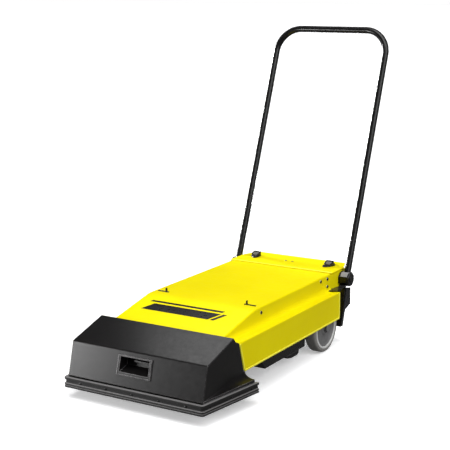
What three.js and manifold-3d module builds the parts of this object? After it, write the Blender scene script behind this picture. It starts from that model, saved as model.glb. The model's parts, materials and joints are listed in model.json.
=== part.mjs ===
// Battery walk-behind floor sweeper, one named mesh for each physical piece.
// Millimetres, +Z up. X runs across the machine, the brush head faces -Y and the handle stands at +Y.
// x = y = 0 is the middle of the whole machine's box. Heights in the constants and functions are measured
// from a datum plane DATUM above the floor; the last step lifts every piece, so that z = 0 is the floor.

import * as THREE from 'three';
import { mergeVertices } from 'three/addons/utils/BufferGeometryUtils.js';
import Module from 'manifold-3d';

const wasm = await Module();
wasm.setup();

// ---------------------------------------------------------------- driving dimensions
const DATUM = 5; // height of the datum plane above the floor
const GAP = 0.3; // clearance left between pieces that touch
const RUN = 0.4; // running clearance of a shaft in its bore
const ACROSS = 260; // half length of a cutting tool that passes right across the machine

// brush head
const HEAD_FRONT = -610; // front face of the base frame
const HEAD_REAR = -378; // rear face of the base frame
const HEAD_HALF_FRONT = 224; // half width of the base frame at its front
const HEAD_HALF_REAR = 255; // and at its rear, because the base flares outward
const BASE_BOTTOM = 31;
const BASE_TOP = 59.5;
const BASE_BAR = 14; // width of the base frame's bars
const BUMPER_THICK = 9.7;
const BUMPER_BOTTOM = 30;
const BUMPER_TOP = 60;
const HOOD_HALF = 225.4; // outer half width of the hood's side walls
const HOOD_WALL = 3.5;
const HOOD_BOTTOM = 62;
const HOOD_FACE = [[-607, 62], [-582.6, 159.5]]; // leaning front face, as [y, z]
const HOOD_TOP_EDGE = [-446.5, 200.5]; // rear edge of the sloping top
const HOOD_REAR = [[-436, 187], [-417, 178], [-389.5, 80]]; // rear edge of a side wall
const FLARE_REAR = -388; // rear end of the hood's flared foot
const FLARE_WIDTH = 33; // how far the foot stands out there

// grip recess in the hood's face
const GRIP_X = -4.7;
const GRIP_WIDTH = 114.5;
const GRIP_HEIGHT = 58;
const GRIP_Z = 119.7;
const GRIP_DEPTH = 36;
const GRIP_RIM = { side: 8.6, top: 4.8, bottom: 9.6 }; // width of the frame round the opening

// main brush and its belt drive
const BRUSH = { y: -465, z: 62, r: 60.5, core: 22, half: 195, shaft: 6 };
const SHROUD_R = [65.5, 67.5]; // inside and outside of the curved sheet behind the brush
const BRUSH_PULLEY_R = 26;
const MOTOR_PULLEY_R = 13;
const BELT_X = [-216.5, -209]; // the belt runs outside the left bearing plate
const BELT_THICK = 3;
const PULLEY_FLANGE = 1.8; // how far a pulley reaches beyond each side of the belt
const MOTOR = { y: -320, z: 131, r: 36, x0: -150, x1: -15, shaft: 5, blindBore: 40 };
const END_PLATE = [198.5, 203.5]; // bearing plates that carry the brush

// sheet-metal cover
const SHEET = 2.5;
const COVER_HALF = 186.5; // side walls
const SKIRT_HALF = 223.3;
const COVER_TOP = 231;
const LEDGE_Z = 176.6;
const SKIRT_BOTTOM = 86.8;
const COVER_FRONT = -452; // front end, under the hood's rear lip
const COVER_BEND = -259; // where the flat top turns into the front slope
const COVER_CREASE = 234; // where the flat top ends and the lid begins
const COVER_REAR = 345;
const SLOPE = 0.211; // fall of the front slope
const SKIRT_REAR = 229.3;
const JOGGLE = 3.8; // step down that seats the lid

// lid over the batteries
const LID_FRONT = 236;
const LID_REAR = 386;
const LID_HALF = 190;
const LID_THICK = 3;
const LID_TOP = 233.4;
const LID_LATCH = { x: 138.5, y: 319, stem: 6 };
const TURN_LATCH = { x: 141, y: -230, stem: 4 };

// chassis tub
const TUB_FRONT = -222;
const TUB_STEP = 50; // behind this the tub narrows for the wheels
const TUB_REAR = 338;
const TUB_HALF = 190;
const TUB_HALF_REAR = 160;
const TUB_BOTTOM = 37;
const TUB_TOP = 172;
const TUB_WALL = 2.5;
const ARM_X = [190.3, 196.3]; // side arms that carry the head
const LUG_THICK = 6;
const HEAD_BOLT = { y: -358, z: 72, r: 4, eye: 11, hex: 7 };
const SHELF = { z0: 88, z1: 91, half: 189.6, front: -376 }; // the shelf under the motor
const BATTERY = { x0: 4, x1: 170, y0: -196, y1: -76, top: 205 };
const CONTROL_BOX = { half: 75, y0: -60, y1: 34, top: 120 };

// rear panel with its switch, socket and vents
const PANEL = { half: 183.6, y0: TUB_REAR + 0.6, y1: TUB_REAR + 3.2, z0: 66, z1: 223.5 };
const SWITCH = { x0: 97, x1: 123, z0: 191.5, z1: 204.5 };
const SOCKET = { x: 58, z: 198, r: 12.6, flange: 17, bore: 9 };
const VENT = { x0: -150, x1: -60, z: 182, pitch: 8, height: 3, count: 5 };

// rear wheels
const WHEEL = { y: 154, z: 75, r: 80, x0: 175, x1: 215, bore: 8.4, seat: 62 };
const AXLE_R = 8;
const TYRE_CLEAR_Z = 114; // the cover's wall and flange end here, above the tyre
const ROLLER = { x: 150, y: -355, z: 20, r: 25, half: 10, pin: 4 };

// handle
const PIVOT = { y: 311, z: 200 };
const LEG_X = 207;
const TUBE_R = 11.1;
const TUBE_WALL = 1.6;
const BAR = { y: 609, z: 995 }; // centre line of the hand bar
const BEND_R = 84;
const TUBE_START = 12; // distance from the pivot axis to the tube's lower end
const KNUCKLE_R = 24.3; // octagonal knuckle, corner radius
const POST_FOOT = { y: 264, z: 51 }; // centre of a post's lower end
const POST_HALF = 7.5; // half its depth along the machine
const POST_TOP_Z = 171;
const LUG_X = [188, 191.6]; // the post's octagonal cheek beside the knuckle
const KNUCKLE_X = [192.2, 218.4];
const PIVOT_BOLT = { r: 5, x0: 187.4, x1: 222 };
const KNOB_X = [218.8, 224.6];

// ---------------------------------------------------------------- materials
const finish = (color, roughness, metalness) => ({ color, roughness, metalness });
const YELLOW = finish(0xf7e40c, 0.42, 0.0);
const BLACK_PLASTIC = finish(0x232122, 0.5, 0.0);
const BLACK_PAINT = finish(0x1c1b1c, 0.35, 0.3);
const BLACK_RUBBER = finish(0x161616, 0.75, 0.0);
const GREY_TYRE = finish(0x6f6d6e, 0.8, 0.0);
const GREY_HUB = finish(0x8b8a8c, 0.5, 0.0);
const STEEL = finish(0xa9abad, 0.3, 1.0);
const BRISTLE = finish(0x3a3a3c, 0.9, 0.0);
const GREY_CASE = finish(0x4a4d52, 0.6, 0.0);

const machine = new THREE.Group();

function addPart(name, geometry, look) {
  const mesh = new THREE.Mesh(geometry, new THREE.MeshStandardMaterial(look));
  mesh.name = name;
  machine.add(mesh);
  return mesh;
}

// ---------------------------------------------------------------- solids
function toManifold(geometry) {
  const bare = geometry.clone();
  bare.deleteAttribute('normal');
  bare.deleteAttribute('uv');
  const merged = mergeVertices(bare, 1e-3);
  return new wasm.Manifold(new wasm.Mesh({
    numProp: 3,
    vertProperties: new Float32Array(merged.attributes.position.array),
    triVerts: new Uint32Array(merged.index.array),
  }));
}

function toGeometry(manifold) {
  const mesh = manifold.getMesh();
  const geometry = new THREE.BufferGeometry();
  geometry.setAttribute('position', new THREE.BufferAttribute(mesh.vertProperties, 3));
  geometry.setIndex(new THREE.BufferAttribute(mesh.triVerts, 1));
  return geometry;
}

function join(...geometries) {
  return toGeometry(geometries.map(toManifold).reduce((sum, next) => sum.add(next)));
}

function cut(base, ...tools) {
  return toGeometry(tools.map(toManifold).reduce((rest, tool) => rest.subtract(tool), toManifold(base)));
}

function box(x0, x1, y0, y1, z0, z1) {
  const geometry = new THREE.BoxGeometry(x1 - x0, y1 - y0, z1 - z0);
  return geometry.translate((x0 + x1) / 2, (y0 + y1) / 2, (z0 + z1) / 2);
}

function outline(points, holes = []) {
  const shape = new THREE.Shape(points.map(([a, b]) => new THREE.Vector2(a, b)));
  for (const hole of holes) {
    shape.holes.push(new THREE.Path(hole.map(([a, b]) => new THREE.Vector2(a, b))));
  }
  return shape;
}

function extrude(points, depth, holes) {
  return new THREE.ExtrudeGeometry(outline(points, holes), { depth, bevelEnabled: false, steps: 1 });
}

// a [y, z] outline extruded along X, from x0 to x1
function prismX(points, x0, x1, holes) {
  const turn = new THREE.Matrix4().makeBasis(
    new THREE.Vector3(0, 1, 0), new THREE.Vector3(0, 0, 1), new THREE.Vector3(1, 0, 0));
  return extrude(points, x1 - x0, holes).applyMatrix4(turn).translate(x0, 0, 0);
}

// an [x, y] outline extruded along Z, from z0 to z1
function prismZ(points, z0, z1, holes) {
  return extrude(points, z1 - z0, holes).translate(0, 0, z0);
}

function cylinderX(r, x0, x1, y, z, sides = 28) {
  const geometry = new THREE.CylinderGeometry(r, r, x1 - x0, sides);
  return geometry.rotateZ(Math.PI / 2).translate((x0 + x1) / 2, y, z);
}

function cylinderY(r, y0, y1, x, z, sides = 20) {
  return new THREE.CylinderGeometry(r, r, y1 - y0, sides).translate(x, (y0 + y1) / 2, z);
}

function cylinderZ(r, z0, z1, x, y, sides = 24) {
  const geometry = new THREE.CylinderGeometry(r, r, z1 - z0, sides);
  return geometry.rotateX(Math.PI / 2).translate(x, y, (z0 + z1) / 2);
}

// a [radius, x] profile turned about an axis along X through (y, z)
function turnedX(profile, y, z, sides = 32) {
  const geometry = new THREE.LatheGeometry(profile.map(([r, x]) => new THREE.Vector2(r, x)), sides);
  return geometry.rotateZ(-Math.PI / 2).translate(0, y, z);
}

// points on an arc in a plane, angles in degrees
function arc(cx, cy, r, from, to, steps) {
  const points = [];
  for (let i = 0; i <= steps; i += 1) {
    const angle = THREE.MathUtils.degToRad(from + ((to - from) * i) / steps);
    points.push([cx + r * Math.cos(angle), cy + r * Math.sin(angle)]);
  }
  return points;
}

// a closed solid through sections that have the same number of points
function loft(sections) {
  const count = sections[0].length;
  const positions = sections.flat().flatMap((p) => [p.x, p.y, p.z]);
  const index = [];
  for (let s = 0; s + 1 < sections.length; s += 1) {
    for (let i = 0; i < count; i += 1) {
      const a = s * count + i;
      const b = s * count + ((i + 1) % count);
      index.push(a, b, a + count, b, b + count, a + count);
    }
  }
  const last = (sections.length - 1) * count;
  for (const [offset, flip] of [[0, true], [last, false]]) {
    const flat = flatten(sections[offset / count]);
    for (const [a, b, c] of THREE.ShapeUtils.triangulateShape(flat, [])) {
      index.push(offset + a, offset + (flip ? c : b), offset + (flip ? b : c));
    }
  }
  const geometry = new THREE.BufferGeometry();
  geometry.setAttribute('position', new THREE.Float32BufferAttribute(positions, 3));
  geometry.setIndex(index);
  return signedVolume(geometry) < 0 ? inverted(geometry) : geometry;
}

// a section's points in two coordinates, turning anticlockwise as the section's own plane sees them
function flatten(section) {
  const normal = new THREE.Vector3();
  for (let i = 0; i < section.length; i += 1) {
    normal.add(new THREE.Vector3().crossVectors(section[i], section[(i + 1) % section.length]));
  }
  normal.normalize();
  const helper = Math.abs(normal.z) < 0.9 ? new THREE.Vector3(0, 0, 1) : new THREE.Vector3(1, 0, 0);
  const u = new THREE.Vector3().crossVectors(helper, normal).normalize();
  const v = new THREE.Vector3().crossVectors(normal, u);
  return section.map((p) => new THREE.Vector2(p.dot(u), p.dot(v)));
}

function signedVolume(geometry) {
  const { position } = geometry.attributes;
  const at = (i) => new THREE.Vector3().fromBufferAttribute(position, geometry.index.getX(i));
  let sum = 0;
  for (let i = 0; i < geometry.index.count; i += 3) {
    sum += at(i).dot(new THREE.Vector3().crossVectors(at(i + 1), at(i + 2)));
  }
  return sum / 6;
}

function inverted(geometry) {
  const order = geometry.index.array;
  for (let i = 0; i < order.length; i += 3) {
    [order[i + 1], order[i + 2]] = [order[i + 2], order[i + 1]];
  }
  return geometry;
}

// the mirror image of a piece across the machine's centre plane
function mirrored(geometry) {
  const copy = geometry.clone();
  copy.applyMatrix4(new THREE.Matrix4().makeScale(-1, 1, 1));
  if (!copy.index) {
    copy.setIndex([...Array(copy.attributes.position.count).keys()]);
  }
  return inverted(copy);
}

function addPair(name, geometry, look) {
  addPart(`${name}_right`, geometry, look);
  addPart(`${name}_left`, mirrored(geometry), look);
}

// ---------------------------------------------------------------- brush head
// half width of the base frame at a station along the machine
function baseHalf(y) {
  const t = (y - HEAD_FRONT) / (HEAD_REAR - HEAD_FRONT);
  return HEAD_HALF_FRONT + t * (HEAD_HALF_REAR - HEAD_HALF_FRONT);
}

function headBase() {
  const corner = (inset, y) => baseHalf(y) - inset;
  const rim = [
    [-corner(0, HEAD_FRONT), HEAD_FRONT], [corner(0, HEAD_FRONT), HEAD_FRONT],
    [corner(0, HEAD_REAR), HEAD_REAR], [-corner(0, HEAD_REAR), HEAD_REAR]];
  const front = HEAD_FRONT + BASE_BAR;
  const rear = HEAD_REAR - BASE_BAR - 2;
  const window = [
    [-corner(BASE_BAR, front), front], [-corner(BASE_BAR, rear), rear],
    [corner(BASE_BAR, rear), rear], [corner(BASE_BAR, front), front]];
  const frame = prismZ(rim, BASE_BOTTOM, BASE_TOP, [window]);
  const overlap = 3; // how far a plate runs into the bars, to be one piece with them
  const bearingR = 34;
  const plate = [
    [front - overlap, BASE_BOTTOM + 1], [rear + overlap, BASE_BOTTOM + 1], [rear + overlap, BASE_TOP - 1],
    ...arc(BRUSH.y, BRUSH.z, bearingR, -5, 185, 10), [front - overlap, BASE_TOP - 1]];
  const lug = [
    [rear + overlap, BASE_BOTTOM + 9], [HEAD_BOLT.y, HEAD_BOLT.z - HEAD_BOLT.eye],
    ...arc(HEAD_BOLT.y, HEAD_BOLT.z, HEAD_BOLT.eye, -80, 110, 8), [rear + overlap, BASE_TOP - 1]];
  const lugStart = ARM_X[1] + 2 * GAP;
  const pieces = [frame];
  for (const side of [-1, 1]) {
    const place = (a, b) => (side > 0 ? [a, b] : [-b, -a]);
    pieces.push(prismX(plate, ...place(...END_PLATE)));
    pieces.push(prismX(lug, ...place(lugStart, lugStart + LUG_THICK)));
  }
  return cut(
    join(...pieces),
    cylinderX(BRUSH.shaft + RUN, -ACROSS, ACROSS, BRUSH.y, BRUSH.z, 20),
    cylinderX(HEAD_BOLT.r + GAP, -ACROSS, ACROSS, HEAD_BOLT.y, HEAD_BOLT.z, 16));
}

// the bumper's section, as [outward offset, z]: a ribbed lower lip, a hollow web and an upper lip
function bumperSection() {
  const t = BUMPER_THICK;
  const web = t - 4.2;
  const groove = t - 2.6;
  const soft = 1.6; // bevel on the lips' edges
  return [
    [0, BUMPER_BOTTOM], [t - soft, BUMPER_BOTTOM], [t, BUMPER_BOTTOM + soft], [t, 35.4], [groove, 36.8],
    [t, 38.2], [t, 41.4], [web, 43.2], [web, 52.4], [t, 54], [t, BUMPER_TOP - soft],
    [t - soft, BUMPER_TOP], [0, BUMPER_TOP]];
}

// the strip runs round the sides and front of the base, with rounded front corners
function bumperStrip() {
  const rearY = HEAD_REAR + 3;
  const rearX = baseHalf(rearY) + 2 * GAP;
  const frontX = baseHalf(HEAD_FRONT) + 2 * GAP;
  const frontY = HEAD_FRONT - GAP;
  const corner = 0.5; // inner corner radius
  const lean = Math.atan2(rearX - frontX, rearY - frontY);
  const stations = [{ x: rearX, y: rearY, turn: -lean, least: 0 }];
  const steps = 5;
  for (let i = 0; i <= steps; i += 1) {
    const turn = -lean + ((lean - Math.PI / 2) * i) / steps;
    stations.push({ x: frontX - corner, y: frontY + corner, turn, least: corner });
  }
  const right = stations.map(({ x, y, turn, least }) => bumperSection().map(([out, z]) => {
    const reach = Math.max(out, least);
    return new THREE.Vector3(x + reach * Math.cos(turn), y + reach * Math.sin(turn), z);
  }));
  const left = right.map((section) => section.map((p) => new THREE.Vector3(-p.x, p.y, p.z))).reverse();
  return loft([...right, ...left]);
}

// the hood's side view, as [y, z]
function hoodOutline() {
  const rear = [...HOOD_REAR].reverse();
  return [HOOD_FACE[0], [HOOD_REAR[2][0], HOOD_BOTTOM], ...rear, HOOD_TOP_EDGE, HOOD_FACE[1]];
}

// the space under the hood, open below and behind
function hoodInside() {
  const [[faceY, faceZ], [ridgeY, ridgeZ]] = HOOD_FACE;
  const [topY, topZ] = HOOD_TOP_EDGE;
  const wall = HOOD_WALL;
  const behind = -300; // a station well behind the hood
  const rise = (topZ - ridgeZ) / (topY - ridgeY);
  return [
    [faceY + wall - 5, faceZ - 20], [behind, faceZ - 20], [behind, topZ - wall + rise * (behind - topY)],
    [topY, topZ - wall], [ridgeY + wall * 0.7, ridgeZ - wall]];
}

// the foot that sweeps outward below a side wall, growing toward the rear
function hoodFoot() {
  const start = HOOD_FACE[0][0] + 3;
  const steps = 5;
  return Array.from({ length: steps + 1 }, (_, i) => {
    const t = i / steps;
    const y = start + t * (FLARE_REAR - start);
    const out = Math.max(FLARE_WIDTH * t, 0.6);
    const rim = HOOD_BOTTOM + 4 + 5 * t;
    const rise = out * 0.62;
    // a quarter of an ellipse, hollow side up, from the foot's edge to the wall
    const sweep = arc(0, 0, 1, 270, 180, 4)
      .map(([a, b]) => [HOOD_HALF + out + a * out, rim + rise + b * rise]);
    const points = [
      [HOOD_HALF - 2, HOOD_BOTTOM], [HOOD_HALF + out, HOOD_BOTTOM], ...sweep, [HOOD_HALF - 2, rim + rise]];
    return points.map(([x, z]) => new THREE.Vector3(x, y, z));
  });
}

// the recess's own frame: y inward from the face, z up along the face
function onFace(geometry) {
  const [[faceY, faceZ], [ridgeY, ridgeZ]] = HOOD_FACE;
  const lean = Math.atan2(ridgeY - faceY, ridgeZ - faceZ);
  const y = faceY + (GRIP_Z - faceZ) * Math.tan(lean);
  return geometry.rotateX(-lean).translate(GRIP_X, y, GRIP_Z);
}

function hopperHood() {
  const foot = loft(hoodFoot());
  const shell = join(prismX(hoodOutline(), -HOOD_HALF, HOOD_HALF), foot, mirrored(foot));
  const inside = prismX(hoodInside(), -HOOD_HALF + HOOD_WALL, HOOD_HALF - HOOD_WALL);
  const { half, low, high } = gripCupSize();
  const reach = 20; // through the wall and out of the face
  const windowHole = onFace(box(-half - GAP, half + GAP, -reach, reach, low - GAP, high + GAP));
  return cut(shell, inside, windowHole);
}

// outside of the recess's cup behind the face: half width, and lowest and highest point up the face
function gripCupSize() {
  return { half: GRIP_WIDTH / 2 - 4, low: -GRIP_HEIGHT / 2 + 4, high: GRIP_HEIGHT / 2 - 2.4 };
}

function gripCup() {
  const rise = GRIP_HEIGHT / 2;
  const inner = GRIP_DEPTH - 2.5;
  const proud = -2.6; // the bezel's front, in front of the face
  const bezel = box(-GRIP_WIDTH / 2, GRIP_WIDTH / 2, proud, -GAP, -rise, rise);
  const size = gripCupSize();
  const cup = box(-size.half, size.half, -1, GRIP_DEPTH, size.low, size.high);
  const [low, high] = [-rise + GRIP_RIM.bottom, rise - GRIP_RIM.top];
  const half = GRIP_WIDTH / 2 - GRIP_RIM.side;
  const out = proud - 5;
  const pocket = prismX([[out, low], [0, low], [inner, low + 5], [inner, high], [out, high]], -half, half);
  return onFace(cut(join(bezel, cup), pocket));
}

function debrisTray() {
  const half = 194;
  const wall = 2.5;
  const [front, rear] = [-598.5, -533];
  const [low, high] = [64, 88];
  const lean = 4.2; // how far the front and rear walls lean back over their height
  const channel = [
    [front, low], [rear, low], [rear + lean, high + 2], [rear + lean - wall, high + 2],
    [rear - wall + 0.3, low + wall], [front + wall, low + wall], [front + lean + wall, high],
    [front + lean, high]];
  const cheek = [[front, low], [rear, low], [rear + lean, high + 2], [front + lean, high]];
  return join(
    prismX(channel, -half, half), prismX(cheek, -half, -half + wall), prismX(cheek, half - wall, half));
}

function brushShroud() {
  const [inner, outer] = SHROUD_R;
  const points = [
    ...arc(BRUSH.y, BRUSH.z, outer, 0, 125, 12),
    ...arc(BRUSH.y, BRUSH.z, inner, 125, 0, 12)];
  return prismX(points, -END_PLATE[0] + 1, END_PLATE[0] - 1);
}

// ---------------------------------------------------------------- brush, belt and motor
function brushCore() {
  return join(
    cylinderX(BRUSH.core, -BRUSH.half, BRUSH.half, BRUSH.y, BRUSH.z, 24),
    cylinderX(BRUSH.shaft, BELT_X[0] - 2.5, END_PLATE[1] + 1.5, BRUSH.y, BRUSH.z, 20));
}

// six rows of bristles that wind slowly round the core
function brushBristles() {
  const rows = 6;
  const root = BRUSH.core + 6;
  const twist = 50; // degrees from one end to the other
  const stations = 6;
  const half = BRUSH.half - 4;
  const sections = [];
  for (let s = 0; s <= stations; s += 1) {
    const x = -half + (2 * half * s) / stations;
    const start = (twist * s) / stations;
    const section = [];
    for (let row = 0; row < rows; row += 1) {
      for (const [part, r] of [[0, root], [14, BRUSH.r], [26, BRUSH.r], [40, root]]) {
        const angle = THREE.MathUtils.degToRad(start + (360 * row) / rows + part);
        section.push(new THREE.Vector3(x, BRUSH.y + r * Math.cos(angle), BRUSH.z + r * Math.sin(angle)));
      }
    }
    sections.push(section);
  }
  return cut(loft(sections), cylinderX(BRUSH.core + GAP, -ACROSS, ACROSS, BRUSH.y, BRUSH.z, 24));
}

function pulley(y, z, r, bore) {
  const [x0, x1] = BELT_X;
  const rim = r + 2.5;
  const end = PULLEY_FLANGE;
  return turnedX([
    [bore, x0 - end], [rim, x0 - end], [rim, x0 - 0.6], [r, x0 - 0.2], [r, x1 + 0.2], [rim, x1 + 0.6],
    [rim, x1 + end], [bore, x1 + end], [bore, x0 - end]], y, z, 28);
}

// the loop round two pulleys, offset outward from their running faces
function beltLoop(offset) {
  const dy = MOTOR.y - BRUSH.y;
  const dz = MOTOR.z - BRUSH.z;
  const along = THREE.MathUtils.radToDeg(Math.atan2(dz, dy));
  const open = THREE.MathUtils.radToDeg(Math.asin((BRUSH_PULLEY_R - MOTOR_PULLEY_R) / Math.hypot(dy, dz)));
  return [
    ...arc(MOTOR.y, MOTOR.z, MOTOR_PULLEY_R + offset, along - 90 + open, along + 90 - open, 10),
    ...arc(BRUSH.y, BRUSH.z, BRUSH_PULLEY_R + offset, along + 90 - open, along + 270 + open, 18)];
}

function driveBelt() {
  return prismX(beltLoop(RUN + BELT_THICK), BELT_X[0], BELT_X[1], [beltLoop(RUN).reverse()]);
}

function motorBody() {
  const can = turnedX([
    [0, MOTOR.x0], [24, MOTOR.x0], [MOTOR.r, MOTOR.x0 + 6], [MOTOR.r, MOTOR.x1 - 4],
    [MOTOR.r - 4, MOTOR.x1], [0, MOTOR.x1]], MOTOR.y, MOTOR.z, 28);
  const foot = box(
    MOTOR.x0 + 20, MOTOR.x1 - 20, MOTOR.y - 30, MOTOR.y + 30, SHELF.z1 + GAP, MOTOR.z - 20);
  const bore = cylinderX(
    MOTOR.shaft + RUN, MOTOR.x0 - 5, MOTOR.x0 + MOTOR.blindBore, MOTOR.y, MOTOR.z, 16);
  return cut(join(can, foot), bore);
}

function motorPulley() {
  return join(
    pulley(MOTOR.y, MOTOR.z, MOTOR_PULLEY_R, MOTOR.shaft - 0.1),
    cylinderX(MOTOR.shaft, BELT_X[0] - PULLEY_FLANGE, MOTOR.x0 + MOTOR.blindBore - 4, MOTOR.y, MOTOR.z, 18));
}

// ---------------------------------------------------------------- cover
function coverTopAt(y) {
  return y < COVER_BEND ? COVER_TOP - SLOPE * (COVER_BEND - y) : COVER_TOP;
}

// outer line of the cover's section, from the right skirt's hem up to the middle of the top
function coverHalfLine(top) {
  const edge = 4;
  const fillet = Math.min(16, (top - LEDGE_Z) * 0.72);
  const bend = Math.min(5, (top - LEDGE_Z) * 0.22);
  return [
    [SKIRT_HALF, SKIRT_BOTTOM],
    ...arc(SKIRT_HALF - edge, LEDGE_Z - edge, edge, 0, 90, 3),
    ...arc(COVER_HALF + fillet, LEDGE_Z + fillet, fillet, 270, 180, 4),
    ...arc(COVER_HALF - bend, top - bend, bend, 0, 90, 3)];
}

function offsetLine(line, distance) {
  return line.map(([x, z], i) => {
    const [ax, az] = line[Math.max(i - 1, 0)];
    const [bx, bz] = line[Math.min(i + 1, line.length - 1)];
    const length = Math.hypot(bx - ax, bz - az);
    return [x - ((bz - az) / length) * distance, z + ((bx - ax) / length) * distance];
  });
}

function coverSection(y, top) {
  const right = coverHalfLine(top);
  const outer = [...right, ...right.map(([x, z]) => [-x, z]).reverse()];
  const inner = offsetLine(outer, SHEET).reverse();
  return [...outer, ...inner].map(([x, z]) => new THREE.Vector3(x, y, z));
}

function mainCover() {
  const stations = [COVER_FRONT, -400, COVER_BEND - 14, COVER_BEND - 6]
    .map((y) => [y, coverTopAt(y)]);
  stations.push([COVER_BEND + 4, COVER_TOP - 0.4], [COVER_BEND + 14, COVER_TOP]);
  stations.push([COVER_CREASE, COVER_TOP], [COVER_CREASE + 1.5, COVER_TOP - JOGGLE]);
  stations.push([COVER_REAR, COVER_TOP - JOGGLE]);
  const shell = loft(stations.map(([y, top]) => coverSection(y, top)));
  const [below, above] = [60, 240]; // heights clear of the cover
  const frontCut = [[-470, below], [-375.5, below], [-412.5, LEDGE_Z], [-414.5, above], [-470, above]];
  const rearBox = box(COVER_HALF, ACROSS, SKIRT_REAR, 400, below, above);
  const wallTop = LEDGE_Z + 12;
  const wallBottom = 92;
  const wallLow = prismX([
    [SKIRT_REAR - 3, TYRE_CLEAR_Z], [SKIRT_REAR + 2, TYRE_CLEAR_Z], [SKIRT_REAR + 8, wallBottom],
    [COVER_REAR, wallBottom], [COVER_REAR, wallTop], [SKIRT_REAR - 3, wallTop]],
  COVER_HALF - SHEET, COVER_HALF);
  const endFlange = box(
    COVER_HALF - SHEET, SKIRT_HALF - 1, SKIRT_REAR - SHEET, SKIRT_REAR, TYRE_CLEAR_Z, LEDGE_Z - 2);
  const trimmed = cut(
    shell,
    prismX(frontCut, SKIRT_HALF - 5, ACROSS), prismX(frontCut, -ACROSS, -SKIRT_HALF + 5),
    rearBox, mirrored(rearBox));
  const whole = join(trimmed, wallLow, mirrored(wallLow), endFlange, mirrored(endFlange));
  const holes = [-1, 1].flatMap((side) => [
    cylinderZ(TURN_LATCH.stem + 1, 215, above, side * TURN_LATCH.x, TURN_LATCH.y, 16),
    cylinderZ(LID_LATCH.stem + 5, 215, above, side * LID_LATCH.x, LID_LATCH.y, 16)]);
  return cut(whole, ...holes);
}

function rearDeck() {
  const chamferY = 325;
  const rearHalf = 167;
  const plate = prismZ([
    [-LID_HALF, LID_FRONT], [LID_HALF, LID_FRONT], [LID_HALF, chamferY], [rearHalf, LID_REAR],
    [-rearHalf, LID_REAR], [-LID_HALF, chamferY]], LID_TOP - LID_THICK, LID_TOP);
  const lip = box(-rearHalf + 2, rearHalf - 2, LID_REAR - LID_THICK, LID_REAR, LID_TOP - 16, LID_TOP - 1);
  const bore = LID_LATCH.stem + GAP;
  const holes = [-1, 1].map((side) => cylinderZ(bore, 220, 240, side * LID_LATCH.x, LID_LATCH.y, 16));
  return cut(join(plate, lip), ...holes);
}

// a low base pointed at both ends, set a little askew, that carries a paddle wedged up at the rear
function lidLatch() {
  const { x, y, stem } = LID_LATCH;
  const [long, wide] = [31, 16]; // half length and half width of the base
  const bow = (long * long - wide * wide) / (2 * wide);
  const open = THREE.MathUtils.radToDeg(Math.asin(long / (bow + wide)));
  const lens = [
    ...arc(-bow, 0, bow + wide, -open, open, 8).slice(0, -1),
    ...arc(bow, 0, bow + wide, 180 - open, 180 + open, 8).slice(0, -1)];
  const askew = -0.26; // radians
  const base = prismZ(lens, LID_TOP + 0.4, LID_TOP + 4.4).rotateZ(askew).translate(x, y, 0);
  const paddle = [[-13, 3], [13, 3], [13, 13], [9, 15.5], [-2, 12.5], [-13, 6]];
  const half = 15;
  return join(
    base,
    prismX(paddle.map(([a, b]) => [y + a, LID_TOP + b]), x - half, x + half),
    cylinderZ(stem, LID_TOP - 10, LID_TOP + 2, x, y, 16));
}

function turnLatch() {
  const { x, y, stem } = TURN_LATCH;
  const bottom = COVER_TOP + GAP;
  const arm = box(x - 9, x + 31, y - 3, y + 3, bottom, bottom + 2.2);
  const tab = box(x - 2, x + 2, y - 3.5, y + 3.5, bottom + 1, bottom + 13);
  return join(arm, tab, cylinderZ(stem, COVER_TOP - 9, bottom + 1, x, y, 14));
}

// ---------------------------------------------------------------- chassis
// the tub's outside, or its hollow when inset by the wall and left open above
function tubBlock(inset) {
  const rear = TUB_REAR - inset;
  const front = TUB_FRONT + inset;
  const bottom = TUB_BOTTOM + inset;
  const top = inset > 0 ? TUB_TOP + 20 : TUB_TOP;
  const step = TUB_STEP - inset;
  const side = [[front, top], [front, bottom + 24], [front + 16, bottom], [step, bottom], [step, top]];
  const wide = prismX(side, -TUB_HALF + inset, TUB_HALF - inset);
  return join(wide, box(-TUB_HALF_REAR + inset, TUB_HALF_REAR - inset, step - 10, rear, bottom, top));
}

function chassisTub() {
  const axleHole = cylinderX(AXLE_R + GAP, -ACROSS, ACROSS, WHEEL.y, WHEEL.z, 20);
  return cut(tubBlock(0), tubBlock(TUB_WALL), axleHole);
}

const TUB_FLOOR = TUB_BOTTOM + TUB_WALL + GAP; // what stands in the tub stands here

function battery() {
  const { x0, x1, y0, y1, top } = BATTERY;
  return box(x0, x1, y0, y1, TUB_FLOOR, top);
}

function controlBox() {
  const { half, y0, y1, top } = CONTROL_BOX;
  return box(-half, half, y0, y1, TUB_FLOOR, top);
}

// a flat arm along the tub's side, cranked down to an eye for the head's bolt
function sideArm() {
  const { y, z, r, eye } = HEAD_BOLT;
  const [low, high, rear] = [92, 120, 44];
  const bar = [
    [y - 4, z + eye], [y - 10, z], [y - 4, z - eye + 1], [y + 4, z - eye + 1], [y + 24, low], [rear, low],
    [rear, high], [y + 14, high]];
  return cut(prismX(bar, ...ARM_X), cylinderX(r + GAP, 0, ACROSS, y, z, 16));
}

// a bolt through arm and lug, with a nut on its inner end
function headBolt() {
  const { y, z, r, hex } = HEAD_BOLT;
  const outside = ARM_X[1] + 2 * GAP + LUG_THICK + GAP;
  const inside = ARM_X[0] - GAP;
  return join(
    cylinderX(r, inside - 1, outside + 1, y, z, 16),
    cylinderX(hex, outside, outside + 4.6, y, z, 6),
    cylinderX(hex, inside - 5, inside, y, z, 6));
}

// a shelf across the machine, for the motor above and the rollers below
function motorShelf() {
  const { z0, z1, half, front } = SHELF;
  return box(-half, half, front, TUB_FRONT - 1, z0, z1);
}

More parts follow.
